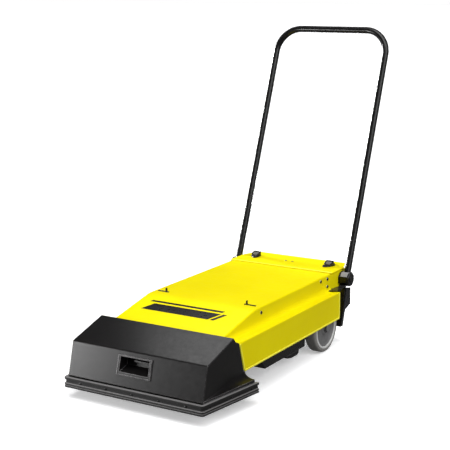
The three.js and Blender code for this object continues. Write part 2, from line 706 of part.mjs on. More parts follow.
function rollerFork() {
  const { x, y, z, r, half, pin } = ROLLER;
  const cheekOut = half + 4;
  const top = SHELF.z0 - GAP;
  const profile = [[y - 10, z - 6], [y + 10, z - 6], [y + 14, top], [y - 14, top]];
  const block = prismX(profile, x - cheekOut, x + cheekOut);
  const slot = box(x - half - 1, x + half + 1, y - 60, y + 60, -5, z + r + 6);
  return join(cut(block, slot), cylinderX(pin, x - cheekOut, x + cheekOut, y, z, 16));
}

function roller() {
  const { x, y, z, r, half, pin } = ROLLER;
  const bore = pin + RUN;
  const soft = 2; // bevel on the rim
  return turnedX([
    [bore, x - half], [r - soft, x - half], [r, x - half + soft], [r, x + half - soft], [r - soft, x + half],
    [bore, x + half], [bore, x - half]], y, z, 24);
}

// a runner under the tub that takes the knocks from kerbs and cables
function bellySkid() {
  const top = TUB_BOTTOM - GAP;
  const profile = [[-70, top], [12, top], [10, 27], [2, 22], [-38, 22.5], [-62, 27]];
  return prismX([...profile].reverse(), 146, TUB_HALF - 0.5);
}

function rearPanel() {
  const { half, y0, y1, z0, z1 } = PANEL;
  const through = (x0, x1, low, high) => box(x0, x1, y0 - 5, y1 + 5, low, high);
  const switchHole = through(SWITCH.x0 - 1, SWITCH.x1 + 1, SWITCH.z0 - 1.5, SWITCH.z1 + 1.5);
  const socketHole = cylinderY(SOCKET.r + RUN, y0 - 5, y1 + 5, SOCKET.x, SOCKET.z);
  const vents = Array.from({ length: VENT.count }, (_, i) => {
    const low = VENT.z + i * VENT.pitch;
    return through(VENT.x0, VENT.x1, low, low + VENT.height);
  });
  return cut(box(-half, half, y0, y1, z0, z1), switchHole, socketHole, ...vents);
}

// a rocker with its lower half pressed in
function powerSwitch() {
  const { x0, x1, z0, z1 } = SWITCH;
  const y = TUB_REAR;
  return prismX([
    [y - 6, z0], [y + 5.4, z0 + 1], [y + 4.2, (z0 + z1) / 2], [y + 7.4, z1 - 1], [y - 6, z1]], x0, x1);
}

function chargeSocket() {
  const { x, z, r, flange, bore } = SOCKET;
  const y = TUB_REAR;
  return cut(
    join(cylinderY(r, y - 12, y + 4.5, x, z), cylinderY(flange, y + 3.5, y + 6, x, z)),
    cylinderY(bore, y - 7, y + 10, x, z));
}

// ---------------------------------------------------------------- wheels
function tyre() {
  const { y, z, r, x0, x1, seat } = WHEEL;
  return turnedX([
    [seat, x0 + 2], [r - 7, x0], [r - 2, x0 + 3], [r, x0 + 9], [r, x1 - 9], [r - 2, x1 - 3],
    [r - 5.5, x1 - 0.6], [seat, x1 - 3.6], [seat, x0 + 2]], y, z, 32);
}

function wheelRim() {
  const { y, z, x0, x1, bore, seat } = WHEEL;
  const edge = seat - RUN;
  return turnedX([
    [bore, x0 + 1], [20, x0 + 1], [20, x0 + 12], [50, x0 + 14], [55, x0 + 3], [edge, x0 + 3],
    [edge, x1 - 1.5], [57, x1 - 1.5], [53, x1 - 8], [22, x1 - 6], [19, x1 - 1], [bore, x1 - 1],
    [bore, x0 + 1]], y, z, 28);
}

// a hexagonal cap nut, its blind bore over the axle's end
function axleNut() {
  const { y, z, x1 } = WHEEL;
  return cut(
    cylinderX(12, x1 - 0.6, x1 + 5, y, z, 6),
    cylinderX(AXLE_R + GAP, x1 - 5, x1 + 2, y, z, 24));
}

// ---------------------------------------------------------------- handle
const HANDLE_LENGTH = Math.hypot(BAR.y - PIVOT.y, BAR.z - PIVOT.z);
const HANDLE_LEAN = Math.atan2(BAR.y - PIVOT.y, BAR.z - PIVOT.z);

// the handle is drawn upright, its pivot axis on the X axis, then leant back onto the posts
function lean(geometry) {
  return geometry.rotateX(-HANDLE_LEAN).translate(0, PIVOT.y, PIVOT.z);
}

// the tube's centre line as [x, z]: up the left leg, across the hand bar and down the right leg
function handleLine() {
  const top = HANDLE_LENGTH - BEND_R;
  const inner = LEG_X - BEND_R;
  const steps = 8;
  return [
    [-LEG_X, TUBE_START], ...arc(-inner, top, BEND_R, 180, 90, steps),
    ...arc(inner, top, BEND_R, 90, 0, steps), [LEG_X, TUBE_START]];
}

// a round bar along the handle's line, run on by a length at both ends
function handleBar(radius, sides, extra) {
  const line = handleLine().map(([x, z]) => new THREE.Vector3(x, 0, z));
  line[0].z -= extra;
  line[line.length - 1].z -= extra;
  const across = new THREE.Vector3(0, 1, 0);
  return loft(line.map((node, i) => {
    const before = new THREE.Vector3().subVectors(node, line[Math.max(i - 1, 0)]).normalize();
    const after = new THREE.Vector3().subVectors(line[Math.min(i + 1, line.length - 1)], node).normalize();
    const forward = before.add(after).normalize();
    const side = new THREE.Vector3().crossVectors(forward, across).normalize();
    return arc(0, 0, radius, 0, 360 - 360 / sides, sides - 1).map(([a, b]) => node.clone()
      .addScaledVector(side, a).addScaledVector(across, b));
  }));
}

function handleTube() {
  return lean(cut(handleBar(TUBE_R, 14, 0), handleBar(TUBE_R - TUBE_WALL, 8, 1)));
}

// an octagonal barrel round the pivot axis, flat side up
function octagonX(x0, x1, r) {
  const barrel = new THREE.CylinderGeometry(r, r, x1 - x0, 8);
  return barrel.rotateZ(Math.PI / 2).rotateX(Math.PI / 8).translate((x0 + x1) / 2, PIVOT.y, PIVOT.z);
}

function handleKnuckle() {
  const tubeBore = lean(cylinderZ(TUBE_R + GAP, TUBE_START - 1, 60, LEG_X, 0, 20));
  return cut(octagonX(...KNUCKLE_X, KNUCKLE_R), tubeBore, pivotBore());
}

function clampKnob() {
  const [x0, x1] = KNOB_X;
  const boss = cylinderX(12, x1 - 1, x1 + 1.4, PIVOT.y, PIVOT.z, 20);
  const blindBore = cylinderX(PIVOT_BOLT.r + RUN, x0 - 5, PIVOT_BOLT.x1 + 0.6, PIVOT.y, PIVOT.z, 16);
  return cut(join(octagonX(x0, x1, KNUCKLE_R), boss), blindBore);
}

function pivotBolt() {
  return cylinderX(PIVOT_BOLT.r, PIVOT_BOLT.x0, PIVOT_BOLT.x1, PIVOT.y, PIVOT.z, 20);
}

function pivotBore() {
  return cylinderX(PIVOT_BOLT.r + RUN, 0, ACROSS, PIVOT.y, PIVOT.z, 16);
}

// centre line of a post at a height
function postY(z) {
  const slope = (PIVOT.y - POST_FOOT.y) / (PIVOT.z - POST_FOOT.z);
  return POST_FOOT.y + slope * (z - POST_FOOT.z);
}

// side view of a length of the post, between two heights
function postSide(z0, z1) {
  return [
    [postY(z0) - POST_HALF, z0], [postY(z0) + POST_HALF, z0], [postY(z1) + POST_HALF, z1],
    [postY(z1) - POST_HALF, z1]];
}

// a bar outside the cover, an octagonal cheek at the pivot and an outrigger bolted to the tub
function handlePost() {
  const [barIn, barOut] = [198, 216];
  const neckZ = 146; // above this the post also reaches in to the cheek
  const bar = prismX(postSide(POST_FOOT.z, POST_TOP_Z), barIn, barOut);
  const neck = prismX(postSide(neckZ, POST_TOP_Z), LUG_X[0], barIn + 1);
  const cheekStalk = prismX(postSide(neckZ, PIVOT.z - 10), ...LUG_X);
  const cheek = octagonX(...LUG_X, KNUCKLE_R);
  const [low, high] = [POST_FOOT.z + 1, 86];
  const outrigger = prismX([
    [postY(low) - POST_HALF - 2, low], [postY(low) + POST_HALF + 6, low], [postY(high) + POST_HALF, high],
    [postY(high) - POST_HALF, high]], TUB_HALF_REAR + 0.6, barIn + 1);
  return cut(join(bar, neck, cheekStalk, cheek, outrigger), pivotBore());
}

// a plate behind the post that stiffens it
function gussetPlate() {
  const start = (z) => postY(z) + POST_HALF + 0.5;
  const [low, high] = [97, 170.5];
  return prismX([[start(low), low], [333, 110.6], [332, 168.5], [start(high), high]], 209, 213);
}

// a flat plate above the cover's ledge, with a leg down the front of the post
function ledgeBracket() {
  const [z0, z1] = [LEDGE_Z + 2.6, LEDGE_Z + 5.2];
  const filletEdge = 194.3; // the plate stays outside the cover's concave fillet
  const wide = SKIRT_HALF - 0.7;
  const [legIn, legOut] = [198, 214];
  const web = prismZ([
    [filletEdge, 204], [wide, 223.5], [wide, 236], [legOut + 2, 262], [legOut + 2, 292], [legIn + 2, 292],
    [190.5, 231], [filletEdge, 231]], z0, z1);
  const front = (z) => postY(z) - POST_HALF - 7;
  const [low, knee, thick] = [132, 166, 6.6];
  const leg = prismX([
    [front(low), low], [front(low) + thick, low], [front(knee) + thick, knee], [front(z1) + thick / 2, z1],
    [front(z1), z1]], legIn, legOut);
  return join(web, leg);
}

// ---------------------------------------------------------------- assembly
addPart('head_base', headBase(), BLACK_PLASTIC);
addPart('bumper_strip', bumperStrip(), BLACK_RUBBER);
addPart('hopper_hood', hopperHood(), BLACK_PLASTIC);
addPart('grip_cup', gripCup(), BLACK_PLASTIC);
addPart('debris_tray', debrisTray(), BLACK_PLASTIC);
addPart('brush_shroud', brushShroud(), BLACK_PAINT);

addPart('brush_core', brushCore(), STEEL);
addPart('brush_bristles', brushBristles(), BRISTLE);
addPart('brush_pulley', pulley(BRUSH.y, BRUSH.z, BRUSH_PULLEY_R, BRUSH.shaft + GAP), BLACK_PLASTIC);
addPart('drive_belt', driveBelt(), BLACK_RUBBER);
addPart('motor_body', motorBody(), STEEL);
addPart('motor_pulley', motorPulley(), STEEL);

addPart('main_cover', mainCover(), YELLOW);
addPart('rear_deck', rearDeck(), YELLOW);
addPair('lid_latch', lidLatch(), BLACK_PLASTIC);
addPair('turn_latch', turnLatch(), BLACK_PAINT);

addPart('chassis_tub', chassisTub(), BLACK_PAINT);
addPart('motor_shelf', motorShelf(), BLACK_PAINT);
addPart('rear_panel', rearPanel(), BLACK_PAINT);
addPart('power_switch', powerSwitch(), BLACK_PLASTIC);
addPart('charge_socket', chargeSocket(), BLACK_PLASTIC);
addPart('control_box', controlBox(), GREY_CASE);
addPair('battery', battery(), GREY_CASE);
addPair('side_arm', sideArm(), BLACK_PAINT);
addPair('head_bolt', headBolt(), STEEL);
addPair('belly_skid', bellySkid(), BLACK_PLASTIC);
addPair('roller_fork', rollerFork(), BLACK_PAINT);
addPair('floor_roller', roller(), GREY_TYRE);

addPart('rear_axle', cylinderX(AXLE_R, -WHEEL.x1 - 1, WHEEL.x1 + 1, WHEEL.y, WHEEL.z, 24), STEEL);
addPair('axle_nut', axleNut(), STEEL);
addPair('tyre', tyre(), GREY_TYRE);
addPair('wheel_rim', wheelRim(), GREY_HUB);

addPair('handle_post', handlePost(), BLACK_PAINT);
addPair('gusset_plate', gussetPlate(), BLACK_PAINT);
addPair('ledge_bracket', ledgeBracket(), BLACK_PAINT);
addPair('pivot_bolt', pivotBolt(), STEEL);
addPair('clamp_knob', clampKnob(), BLACK_PLASTIC);
addPair('handle_knuckle', handleKnuckle(), BLACK_PAINT);
addPart('handle_tube', handleTube(), BLACK_PAINT);

machine.children.forEach((mesh) => mesh.geometry.translate(0, 0, DATUM));

export default machine;
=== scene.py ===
"""Looks for the walk-behind floor sweeper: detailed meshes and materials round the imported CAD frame.

Lengths are millimetres until a mesh is made, and metres in the scene. X runs across the machine and
the brush head faces -Y. Heights in millimetres are measured from a datum plane DATUM above the floor;
in the scene z = 0 is the floor.
"""
import json
import math
import random

import bmesh
import bpy
from mathutils import Matrix, Vector


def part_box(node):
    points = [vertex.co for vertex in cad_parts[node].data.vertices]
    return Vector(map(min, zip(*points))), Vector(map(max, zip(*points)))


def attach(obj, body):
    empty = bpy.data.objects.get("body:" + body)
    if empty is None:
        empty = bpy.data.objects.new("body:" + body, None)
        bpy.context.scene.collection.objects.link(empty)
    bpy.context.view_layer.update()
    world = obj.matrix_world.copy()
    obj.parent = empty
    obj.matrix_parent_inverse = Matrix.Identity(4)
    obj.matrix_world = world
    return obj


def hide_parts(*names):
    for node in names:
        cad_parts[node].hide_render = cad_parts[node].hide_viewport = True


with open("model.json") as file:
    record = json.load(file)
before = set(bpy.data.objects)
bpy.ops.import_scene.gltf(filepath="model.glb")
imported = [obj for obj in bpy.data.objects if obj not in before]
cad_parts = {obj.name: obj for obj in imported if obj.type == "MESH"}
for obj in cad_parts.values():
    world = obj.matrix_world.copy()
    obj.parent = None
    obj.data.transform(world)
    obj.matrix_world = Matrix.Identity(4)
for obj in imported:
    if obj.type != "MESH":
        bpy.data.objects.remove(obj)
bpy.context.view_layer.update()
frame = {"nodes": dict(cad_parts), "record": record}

MM = 0.001
DATUM = 5.0
random.seed(20)


# ---------------------------------------------------------------- camera
CAMERA_AZIMUTH = 31.01
CAMERA_PITCH = 11.68
CAMERA_PLACE = (1.7717, -3.0667, 1.1505)
CAMERA_LENS = 92.85


def make_camera():
    data = bpy.data.cameras.new("camera")
    data.lens = CAMERA_LENS
    data.sensor_width = 36.0
    camera = bpy.data.objects.new("camera", data)
    camera.location = CAMERA_PLACE
    camera.rotation_euler = (math.radians(90 - CAMERA_PITCH), 0.0, math.radians(CAMERA_AZIMUTH))
    bpy.context.scene.collection.objects.link(camera)
    bpy.context.scene.camera = camera


# ---------------------------------------------------------------- plain geometry, in millimetres
def cad_box(node):
    """The lowest and highest corner of a CAD node, in millimetres from the datum."""
    lift = Vector((0, 0, DATUM))
    return tuple(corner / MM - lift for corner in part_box(node))


def arc(cx, cy, r, start, end, steps):
    """Points on an arc, angles in degrees."""
    angles = [math.radians(start + (end - start) * i / steps) for i in range(steps + 1)]
    return [(cx + r * math.cos(a), cy + r * math.sin(a)) for a in angles]


def rounded(points, radius, steps=4):
    """A closed outline with each corner turned into an arc; radius is one number or one per corner."""
    result = []
    count = len(points)
    for i, corner in enumerate(points):
        r = radius[i] if isinstance(radius, (list, tuple)) else radius
        here = Vector(corner)
        to_before = Vector(points[i - 1]) - here
        to_after = Vector(points[(i + 1) % count]) - here
        if r <= 0:
            result.append(tuple(here))
            continue
        half = to_before.angle(to_after) / 2
        reach = min(r / math.tan(half), to_before.length * 0.49, to_after.length * 0.49)
        start = here + to_before.normalized() * reach
        end = here + to_after.normalized() * reach
        for k in range(steps + 1):
            t = k / steps
            result.append(tuple(start * (1 - t) ** 2 + here * 2 * t * (1 - t) + end * t ** 2))
    return result


def loft(sections, caps=True, loop=False):
    """Vertices and faces of a skin through sections that have the same number of points."""
    count = len(sections[0])
    verts = [tuple(p) for section in sections for p in section]
    faces = []
    last = len(sections) if loop else len(sections) - 1
    for s in range(last):
        t = (s + 1) % len(sections)
        for i in range(count):
            j = (i + 1) % count
            faces.append((s * count + i, s * count + j, t * count + j, t * count + i))
    if caps and not loop:
        faces.append(tuple(reversed(range(count))))
        faces.append(tuple(range((len(sections) - 1) * count, len(sections) * count)))
    return verts, faces


def prism_x(points, x0, x1):
    """A (y, z) outline extruded along X."""
    return loft([[(x, y, z) for y, z in points] for x in (x0, x1)])


def prism_y(points, y0, y1):
    """An (x, z) outline extruded along Y."""
    return loft([[(x, y, z) for x, z in points] for y in (y0, y1)])


def prism_z(points, z0, z1):
    """An (x, y) outline extruded along Z."""
    return loft([[(x, y, z) for x, y in points] for z in (z0, z1)])


def block(low, high):
    (x0, y0, z0), (x1, y1, z1) = low, high
    return prism_z([(x0, y0), (x1, y0), (x1, y1), (x0, y1)], z0, z1)


def turned(profile, centre, axis="X", segments=48):
    """A closed (radius, along) profile turned about an axis through centre."""
    sections = []
    for s in range(segments):
        angle = 2 * math.pi * s / segments
        ring = []
        for r, along in profile:
            a, b = r * math.cos(angle), r * math.sin(angle)
            place = {"X": (along, a, b), "Y": (b, along, a), "Z": (a, b, along)}[axis]
            ring.append(tuple(c + p for c, p in zip(centre, place)))
        sections.append(ring)
    return loft(sections, loop=True)


def sweep(path, profile, up):
    """A closed (side, up) profile carried along a path, mitred at its corners."""
    least_cosine = 0.3
    sections = []
    for i, point in enumerate(path):
        here = Vector(point)
        before = (here - Vector(path[i - 1])).normalized() if i else None
        after = (Vector(path[i + 1]) - here).normalized() if i + 1 < len(path) else None
        forward = ((before or after) + (after or before)).normalized()
        side = forward.cross(Vector(up)).normalized()
        lift = side.cross(forward).normalized()
        wide, tall = 1.0, 1.0
        if before and after:
            mitre = 1.0 / max(math.cos(before.angle(after) / 2), least_cosine)
            turns = before.angle(after) > 1e-4
            turns_sideways = turns and abs(before.cross(after).normalized().dot(lift)) > 0.7
            wide, tall = (mitre, 1.0) if turns_sideways else (1.0, mitre)
        sections.append([tuple(here + side * (a * wide) + lift * (b * tall)) for a, b in profile])
    return loft(sections)


def mirrored(shape):
    verts, faces = shape
    return [(-x, y, z) for x, y, z in verts], [tuple(reversed(f)) for f in faces]


def moved(shape, matrix):
    verts, faces = shape
    return [tuple(matrix @ Vector(v)) for v in verts], faces


def together(*shapes):
    verts, faces = [], []
    for shape_verts, shape_faces in shapes:
        start = len(verts)
        verts += shape_verts
        faces += [tuple(start + i for i in f) for f in shape_faces]
    return verts, faces


# ---------------------------------------------------------------- mesh objects
def raw_object(name, shape, bevel=0.0, segments=3, sharp=35.0):
    """An object from a shape in millimetres, its sharper edges rounded by bevel millimetres."""
    verts, faces = shape
    mesh = bpy.data.meshes.new(name)
    mesh.from_pydata([(x * MM, y * MM, (z + DATUM) * MM) for x, y, z in verts], [], faces)
    bm = bmesh.new()
    bm.from_mesh(mesh)
    bmesh.ops.remove_doubles(bm, verts=bm.verts, dist=1e-6)
    bmesh.ops.dissolve_degenerate(bm, dist=1e-7, edges=bm.edges)
    bmesh.ops.recalc_face_normals(bm, faces=bm.faces)
    if bevel:
        round_edges(bm, bevel, segments, sharp)
    bm.to_mesh(mesh)
    bm.free()
    obj = bpy.data.objects.new(name, mesh)
    bpy.context.scene.collection.objects.link(obj)
    return obj


def round_edges(bm, bevel, segments, sharp):
    edges = [e for e in bm.edges if e.is_manifold and e.calc_face_angle(0) > math.radians(sharp)]
    bmesh.ops.bevel(
        bm, geom=edges, offset=bevel * MM, segments=segments, profile=0.5, affect="EDGES", clamp_overlap=True)


def bake_modifiers(obj):
    graph = bpy.context.evaluated_depsgraph_get()
    mesh = bpy.data.meshes.new_from_object(obj.evaluated_get(graph))
    obj.modifiers.clear()
    obj.data = mesh


def combine(obj, shape, operation):
    """Joins to obj or cuts from it a shape in millimetres."""
    tool = raw_object("tool", shape)
    modifier = obj.modifiers.new(operation, "BOOLEAN")
    modifier.operation = operation
    modifier.object = tool
    modifier.solver = "EXACT"
    bake_modifiers(obj)
    bpy.data.objects.remove(tool)


def smooth(obj, angle=38.0):
    obj.data.shade_smooth()
    obj.data.set_sharp_from_angle(angle=math.radians(angle))


def piece(obj, body, material, replaces=()):
    """Finishes a piece: its material, its body and the CAD nodes it stands for."""
    obj.data.materials.clear()
    obj.data.materials.append(material)
    weighted = obj.modifiers.new("weighted", "WEIGHTED_NORMAL")
    weighted.keep_sharp = True
    weighted.weight = 80
    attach(obj, body)
    if replaces:
        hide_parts(*replaces)


def solid_piece(name, shape, body, material, bevel=0.0, segments=3, sharp=35.0, replaces=()):
    obj = raw_object(name, shape, bevel, segments, sharp)
    smooth(obj)
    piece(obj, body, material, replaces)


def on_both_sides(build):
    """Calls build(side_name, mirror) for the right side and then for the left."""
    build("right", lambda shape: shape)
    build("left", mirrored)


# ---------------------------------------------------------------- materials
class Surface:
    """A procedural material: colour, roughness and bump are all driven by noise in object space."""

    def __init__(self, name, roughness, metallic=0.0, **sockets):
        self.material = bpy.data.materials.new(name)
        self.material.use_nodes = True
        self.nodes = self.material.node_tree.nodes
        self.links = self.material.node_tree.links
        self.shader = self.nodes["Principled BSDF"]
        self.shader.inputs["Metallic"].default_value = metallic
        self.shader.inputs["Roughness"].default_value = roughness
        for socket, value in sockets.items():
            self.shader.inputs[socket.replace("_", " ")].default_value = value
        self.place = self.nodes.new("ShaderNodeTexCoord").outputs["Object"]
        self.height = None

    def noise(self, scale, detail=4.0, rough=0.55, stretch=None):
        place = self.place
        if stretch:
            mapping = self.nodes.new("ShaderNodeMapping")
            mapping.inputs["Scale"].default_value = stretch
            self.links.new(place, mapping.inputs["Vector"])
            place = mapping.outputs["Vector"]
        node = self.nodes.new("ShaderNodeTexNoise")
        node.inputs["Scale"].default_value = scale
        node.inputs["Detail"].default_value = detail
        node.inputs["Roughness"].default_value = rough
        self.links.new(place, node.inputs["Vector"])
        return node.outputs["Fac"]

    def cells(self, scale, feature="F1"):
        node = self.nodes.new("ShaderNodeTexVoronoi")
        node.feature = feature
        node.inputs["Scale"].default_value = scale
        self.links.new(self.place, node.inputs["Vector"])
        return node.outputs["Distance"]

    def span(self, value, low, high, start=0.0, end=1.0):
        node = self.nodes.new("ShaderNodeMapRange")
        for socket, number in (("From Min", low), ("From Max", high), ("To Min", start), ("To Max", end)):
            node.inputs[socket].default_value = number
        self.links.new(value, node.inputs["Value"])
        return node.outputs["Result"]

    def multiply(self, a, b):
        node = self.nodes.new("ShaderNodeMath")
        node.operation = "MULTIPLY"
        self.links.new(a, node.inputs[0])
        self.links.new(b, node.inputs[1])
        return node.outputs["Value"]

    def blend(self, factor, a, b):
        node = self.nodes.new("ShaderNodeMix")
        node.data_type = "RGBA"
        self.links.new(factor, node.inputs["Factor"])
        for socket, value in (("A", a), ("B", b)):
            target = next(s for s in node.inputs if s.name == socket and s.type == "RGBA")
            if isinstance(value, tuple):
                target.default_value = (*value, 1.0)
            else:
                self.links.new(value, target)
        return next(s for s in node.outputs if s.type == "RGBA")

    def mottled(self, dark, light, scale, detail, rough=0.55):
        """A colour that drifts between dark and light."""
        return self.blend(self.span(self.noise(scale, detail, rough), 0.3, 0.7), dark, light)

    def edges(self, radius):
        """1 on sharp edges and 0 on flats, from how a rounded normal leaves the true one."""
        bevel = self.nodes.new("ShaderNodeBevel")
        bevel.samples = 4
        bevel.inputs["Radius"].default_value = radius * MM
        true_normal = self.nodes.new("ShaderNodeNewGeometry").outputs["Normal"]
        dot = self.nodes.new("ShaderNodeVectorMath")
        dot.operation = "DOT_PRODUCT"
        self.links.new(bevel.outputs["Normal"], dot.inputs[0])
        self.links.new(true_normal, dot.inputs[1])
        return self.span(dot.outputs["Value"], 0.995, 0.80)

    def upward(self, start, end):
        """0 to 1 on the faces that look upward at rest, where a lighter top is painted: some dust, and a
        painted highlight standing in for light from above; it stays on them as they move.
        """
        split = self.nodes.new("ShaderNodeSeparateXYZ")
        self.links.new(self.nodes.new("ShaderNodeTexCoord").outputs["Normal"], split.inputs[0])
        return self.span(split.outputs["Z"], start, end)

    def colour(self, value):
        self.links.new(value, self.shader.inputs["Base Color"])

    def roughness(self, value):
        self.links.new(value, self.shader.inputs["Roughness"])

    def bump(self, value, depth, strength=1.0):
        """Adds a layer of bump, depth millimetres high."""
        node = self.nodes.new("ShaderNodeBump")
        node.inputs["Distance"].default_value = depth * MM
        node.inputs["Strength"].default_value = strength
        self.links.new(value, node.inputs["Height"])
        if self.height is not None:
            self.links.new(self.height, node.inputs["Normal"])
        self.height = node.outputs["Normal"]
        self.links.new(self.height, self.shader.inputs["Normal"])


def yellow_paint(name, dark, light):
    s = Surface(name, 0.42, Specular_IOR_Level=0.06)
    tone = s.span(s.noise(5.0, 3.0), 0.35, 0.65)
    base = s.blend(tone, dark, light)
    dust = s.multiply(s.span(s.noise(38.0, 6.0, 0.7), 0.60, 0.80), s.span(s.noise(4.0, 2.0), 0.40, 0.70))
    dirty = s.blend(s.span(dust, 0.0, 1.0, 0.0, 0.16), base, (0.50, 0.40, 0.04))
    # Edges blend to a brighter yellow than the paint itself: a painted highlight along the edges.
    worn_and_highlit_edges = s.blend(s.span(s.edges(1.4), 0.0, 1.0, 0.0, 0.55), dirty, (1.0, 0.93, 0.10))
    chips = s.multiply(s.edges(1.2), s.span(s.noise(260.0, 3.0), 0.68, 0.76))
    s.colour(s.blend(chips, worn_and_highlit_edges, (0.30, 0.25, 0.05)))
    s.roughness(s.span(s.noise(60.0, 5.0, 0.6), 0.25, 0.75, 0.36, 0.52))
    s.bump(s.noise(900.0, 2.0), 0.05, 0.5)
    s.bump(s.noise(230.0, 2.0), 0.06, 0.35)
    return s.material


def black_plastic():
    s = Surface("black_moulded_plastic", 0.34, Specular_IOR_Level=0.28)
    base = s.mottled((0.0050, 0.0046, 0.0047), (0.0080, 0.0073, 0.0074), 9.0, 4.0)
    scuff = s.multiply(
        s.span(s.noise(55.0, 7.0, 0.75, (1.0, 6.0, 1.0)), 0.60, 0.76), s.span(s.noise(7.0, 2.0), 0.45, 0.65))
    worn = s.blend(s.span(scuff, 0.0, 1.0, 0.0, 0.25), base, (0.060, 0.056, 0.057))
    # Edges lighten to grey: partly wear, partly a painted highlight along the ridges.
    worn_and_highlit_edges = s.multiply(s.edges(3.0), s.span(s.noise(120.0, 4.0), 0.30, 0.62, 0.35, 1.0))
    s.colour(s.blend(worn_and_highlit_edges, worn, (0.300, 0.290, 0.295)))
    s.roughness(s.span(s.noise(80.0, 5.0, 0.6), 0.25, 0.75, 0.29, 0.40))
    s.bump(s.cells(1100.0), 0.05, 0.4)
    s.bump(s.noise(420.0, 3.0), 0.04, 0.3)
    return s.material


def black_paint(name, top):
    s = Surface(name, 0.26, Specular_IOR_Level=0.40)
    base = s.mottled((0.0034, 0.0032, 0.0033), (0.0060, 0.0057, 0.0058), 12.0, 3.0)
    chips = s.multiply(s.edges(1.0), s.span(s.noise(210.0, 4.0), 0.55, 0.68))
    worn = s.blend(s.span(chips, 0.0, 1.0, 0.0, 0.8), base, (0.16, 0.155, 0.155))
    dust = s.span(s.noise(30.0, 6.0, 0.7), 0.55, 0.80, 0.0, 0.18)
    dusty = s.blend(dust, worn, (0.045, 0.042, 0.040))
    # Upward faces blend to the top colour: a painted highlight from above, with some dust.
    s.colour(s.blend(s.upward(0.60, 0.72), dusty, top))
    s.roughness(s.span(s.noise(70.0, 5.0, 0.6), 0.25, 0.75, 0.20, 0.34))
    s.bump(s.noise(800.0, 2.0), 0.04, 0.4)
    return s.material


def textured_paint():
    s = Surface("black_textured_powder_coat", 0.48, Specular_IOR_Level=0.40)
    base = s.mottled((0.0200, 0.0190, 0.0192), (0.0290, 0.0278, 0.0280), 9.0, 4.0)
    dust = s.span(s.noise(26.0, 6.0, 0.7), 0.50, 0.80, 0.0, 0.35)
    s.colour(s.blend(dust, base, (0.075, 0.070, 0.064)))
    s.roughness(s.span(s.noise(60.0, 5.0, 0.6), 0.25, 0.75, 0.42, 0.56))
    s.bump(s.noise(900.0, 3.0), 0.06, 0.5)
    return s.material


def black_rubber():
    s = Surface("black_rubber", 0.62, Specular_IOR_Level=0.4)
    base = s.mottled((0.0075, 0.0070, 0.0070), (0.0130, 0.0122, 0.0124), 15.0, 4.0)
    scuff = s.span(s.noise(60.0, 6.0, 0.7, (1.0, 1.0, 5.0)), 0.58, 0.78, 0.0, 0.45)
    # Edges lighten to grey: partly wear, partly a painted highlight on the bumper's lips.
    worn_and_highlit_edges = s.multiply(s.edges(1.2), s.span(s.noise(90.0, 4.0), 0.3, 0.6, 0.3, 1.0))
    scuffed = s.blend(scuff, base, (0.040, 0.038, 0.038))
    edged = s.blend(worn_and_highlit_edges, scuffed, (0.360, 0.355, 0.355))
    # Upward faces, the bumper's top lips, are painted light grey: a painted highlight.
    s.colour(s.blend(s.upward(0.55, 0.95), edged, (0.180, 0.175, 0.175)))
    s.roughness(s.span(s.noise(70.0, 5.0), 0.3, 0.7, 0.52, 0.74))
    s.bump(s.noise(650.0, 4.0), 0.08, 0.5)
    return s.material


def grey_rubber():
    s = Surface("grey_non_marking_rubber", 0.66, Specular_IOR_Level=0.35)
    base = s.mottled((0.250, 0.240, 0.228), (0.330, 0.320, 0.308), 14.0, 4.0)
    dirt = s.span(s.noise(45.0, 6.0, 0.75), 0.50, 0.78, 0.0, 0.55)
    s.colour(s.blend(dirt, base, (0.100, 0.092, 0.084)))
    s.roughness(s.span(s.noise(90.0, 5.0), 0.3, 0.7, 0.55, 0.80))
    s.bump(s.noise(520.0, 4.0), 0.12, 0.5)
    return s.material


def grey_nylon(name, dark, light):
    s = Surface(name, 0.46)
    base = s.mottled(dark, light, 20.0, 4.0)
    dirt = s.span(s.noise(50.0, 6.0, 0.75), 0.54, 0.80, 0.0, 0.45)
    s.colour(s.blend(dirt, base, (0.09, 0.085, 0.08)))
    s.roughness(s.span(s.noise(90.0, 5.0), 0.3, 0.7, 0.38, 0.56))
    s.bump(s.noise(700.0, 3.0), 0.05, 0.4)
    return s.material


def light_ring():
    s = Surface("wheel_edge_ring", 0.36)
    base = s.mottled((0.72, 0.72, 0.71), (0.82, 0.82, 0.81), 40.0, 4.0)
    dirt = s.span(s.noise(90.0, 6.0, 0.75), 0.56, 0.80, 0.0, 0.5)
    s.colour(s.blend(dirt, base, (0.40, 0.39, 0.37)))
    s.roughness(s.span(s.noise(120.0, 5.0), 0.3, 0.7, 0.3, 0.46))
    s.bump(s.noise(600.0, 3.0), 0.04, 0.4)
    return s.material


def zinc(name, dark, light):
    s = Surface(name, 0.32, metallic=1.0)
    base = s.mottled(dark, light, 60.0, 5.0, 0.7)
    stain = s.span(s.noise(160.0, 6.0, 0.7), 0.56, 0.76, 0.0, 0.7)
    s.colour(s.blend(stain, base, (0.20, 0.17, 0.13)))
    s.roughness(s.span(s.noise(140.0, 5.0), 0.3, 0.7, 0.24, 0.46))
    s.bump(s.noise(900.0, 3.0, 0.6, (0.12, 1.0, 1.0)), 0.04, 0.5)
    return s.material


def bristle_nylon():
    s = Surface("bristle_nylon", 0.5)
    tone = s.span(s.noise(300.0, 3.0), 0.3, 0.7)
    dusty = s.span(s.noise(25.0, 5.0), 0.40, 0.75, 0.0, 0.5)
    base = s.blend(tone, (0.018, 0.018, 0.020), (0.045, 0.044, 0.046))
    s.colour(s.blend(dusty, base, (0.12, 0.105, 0.085)))
    s.roughness(s.span(s.noise(200.0, 3.0), 0.3, 0.7, 0.4, 0.6))
    s.bump(s.noise(900.0, 2.0), 0.03, 0.4)
    return s.material


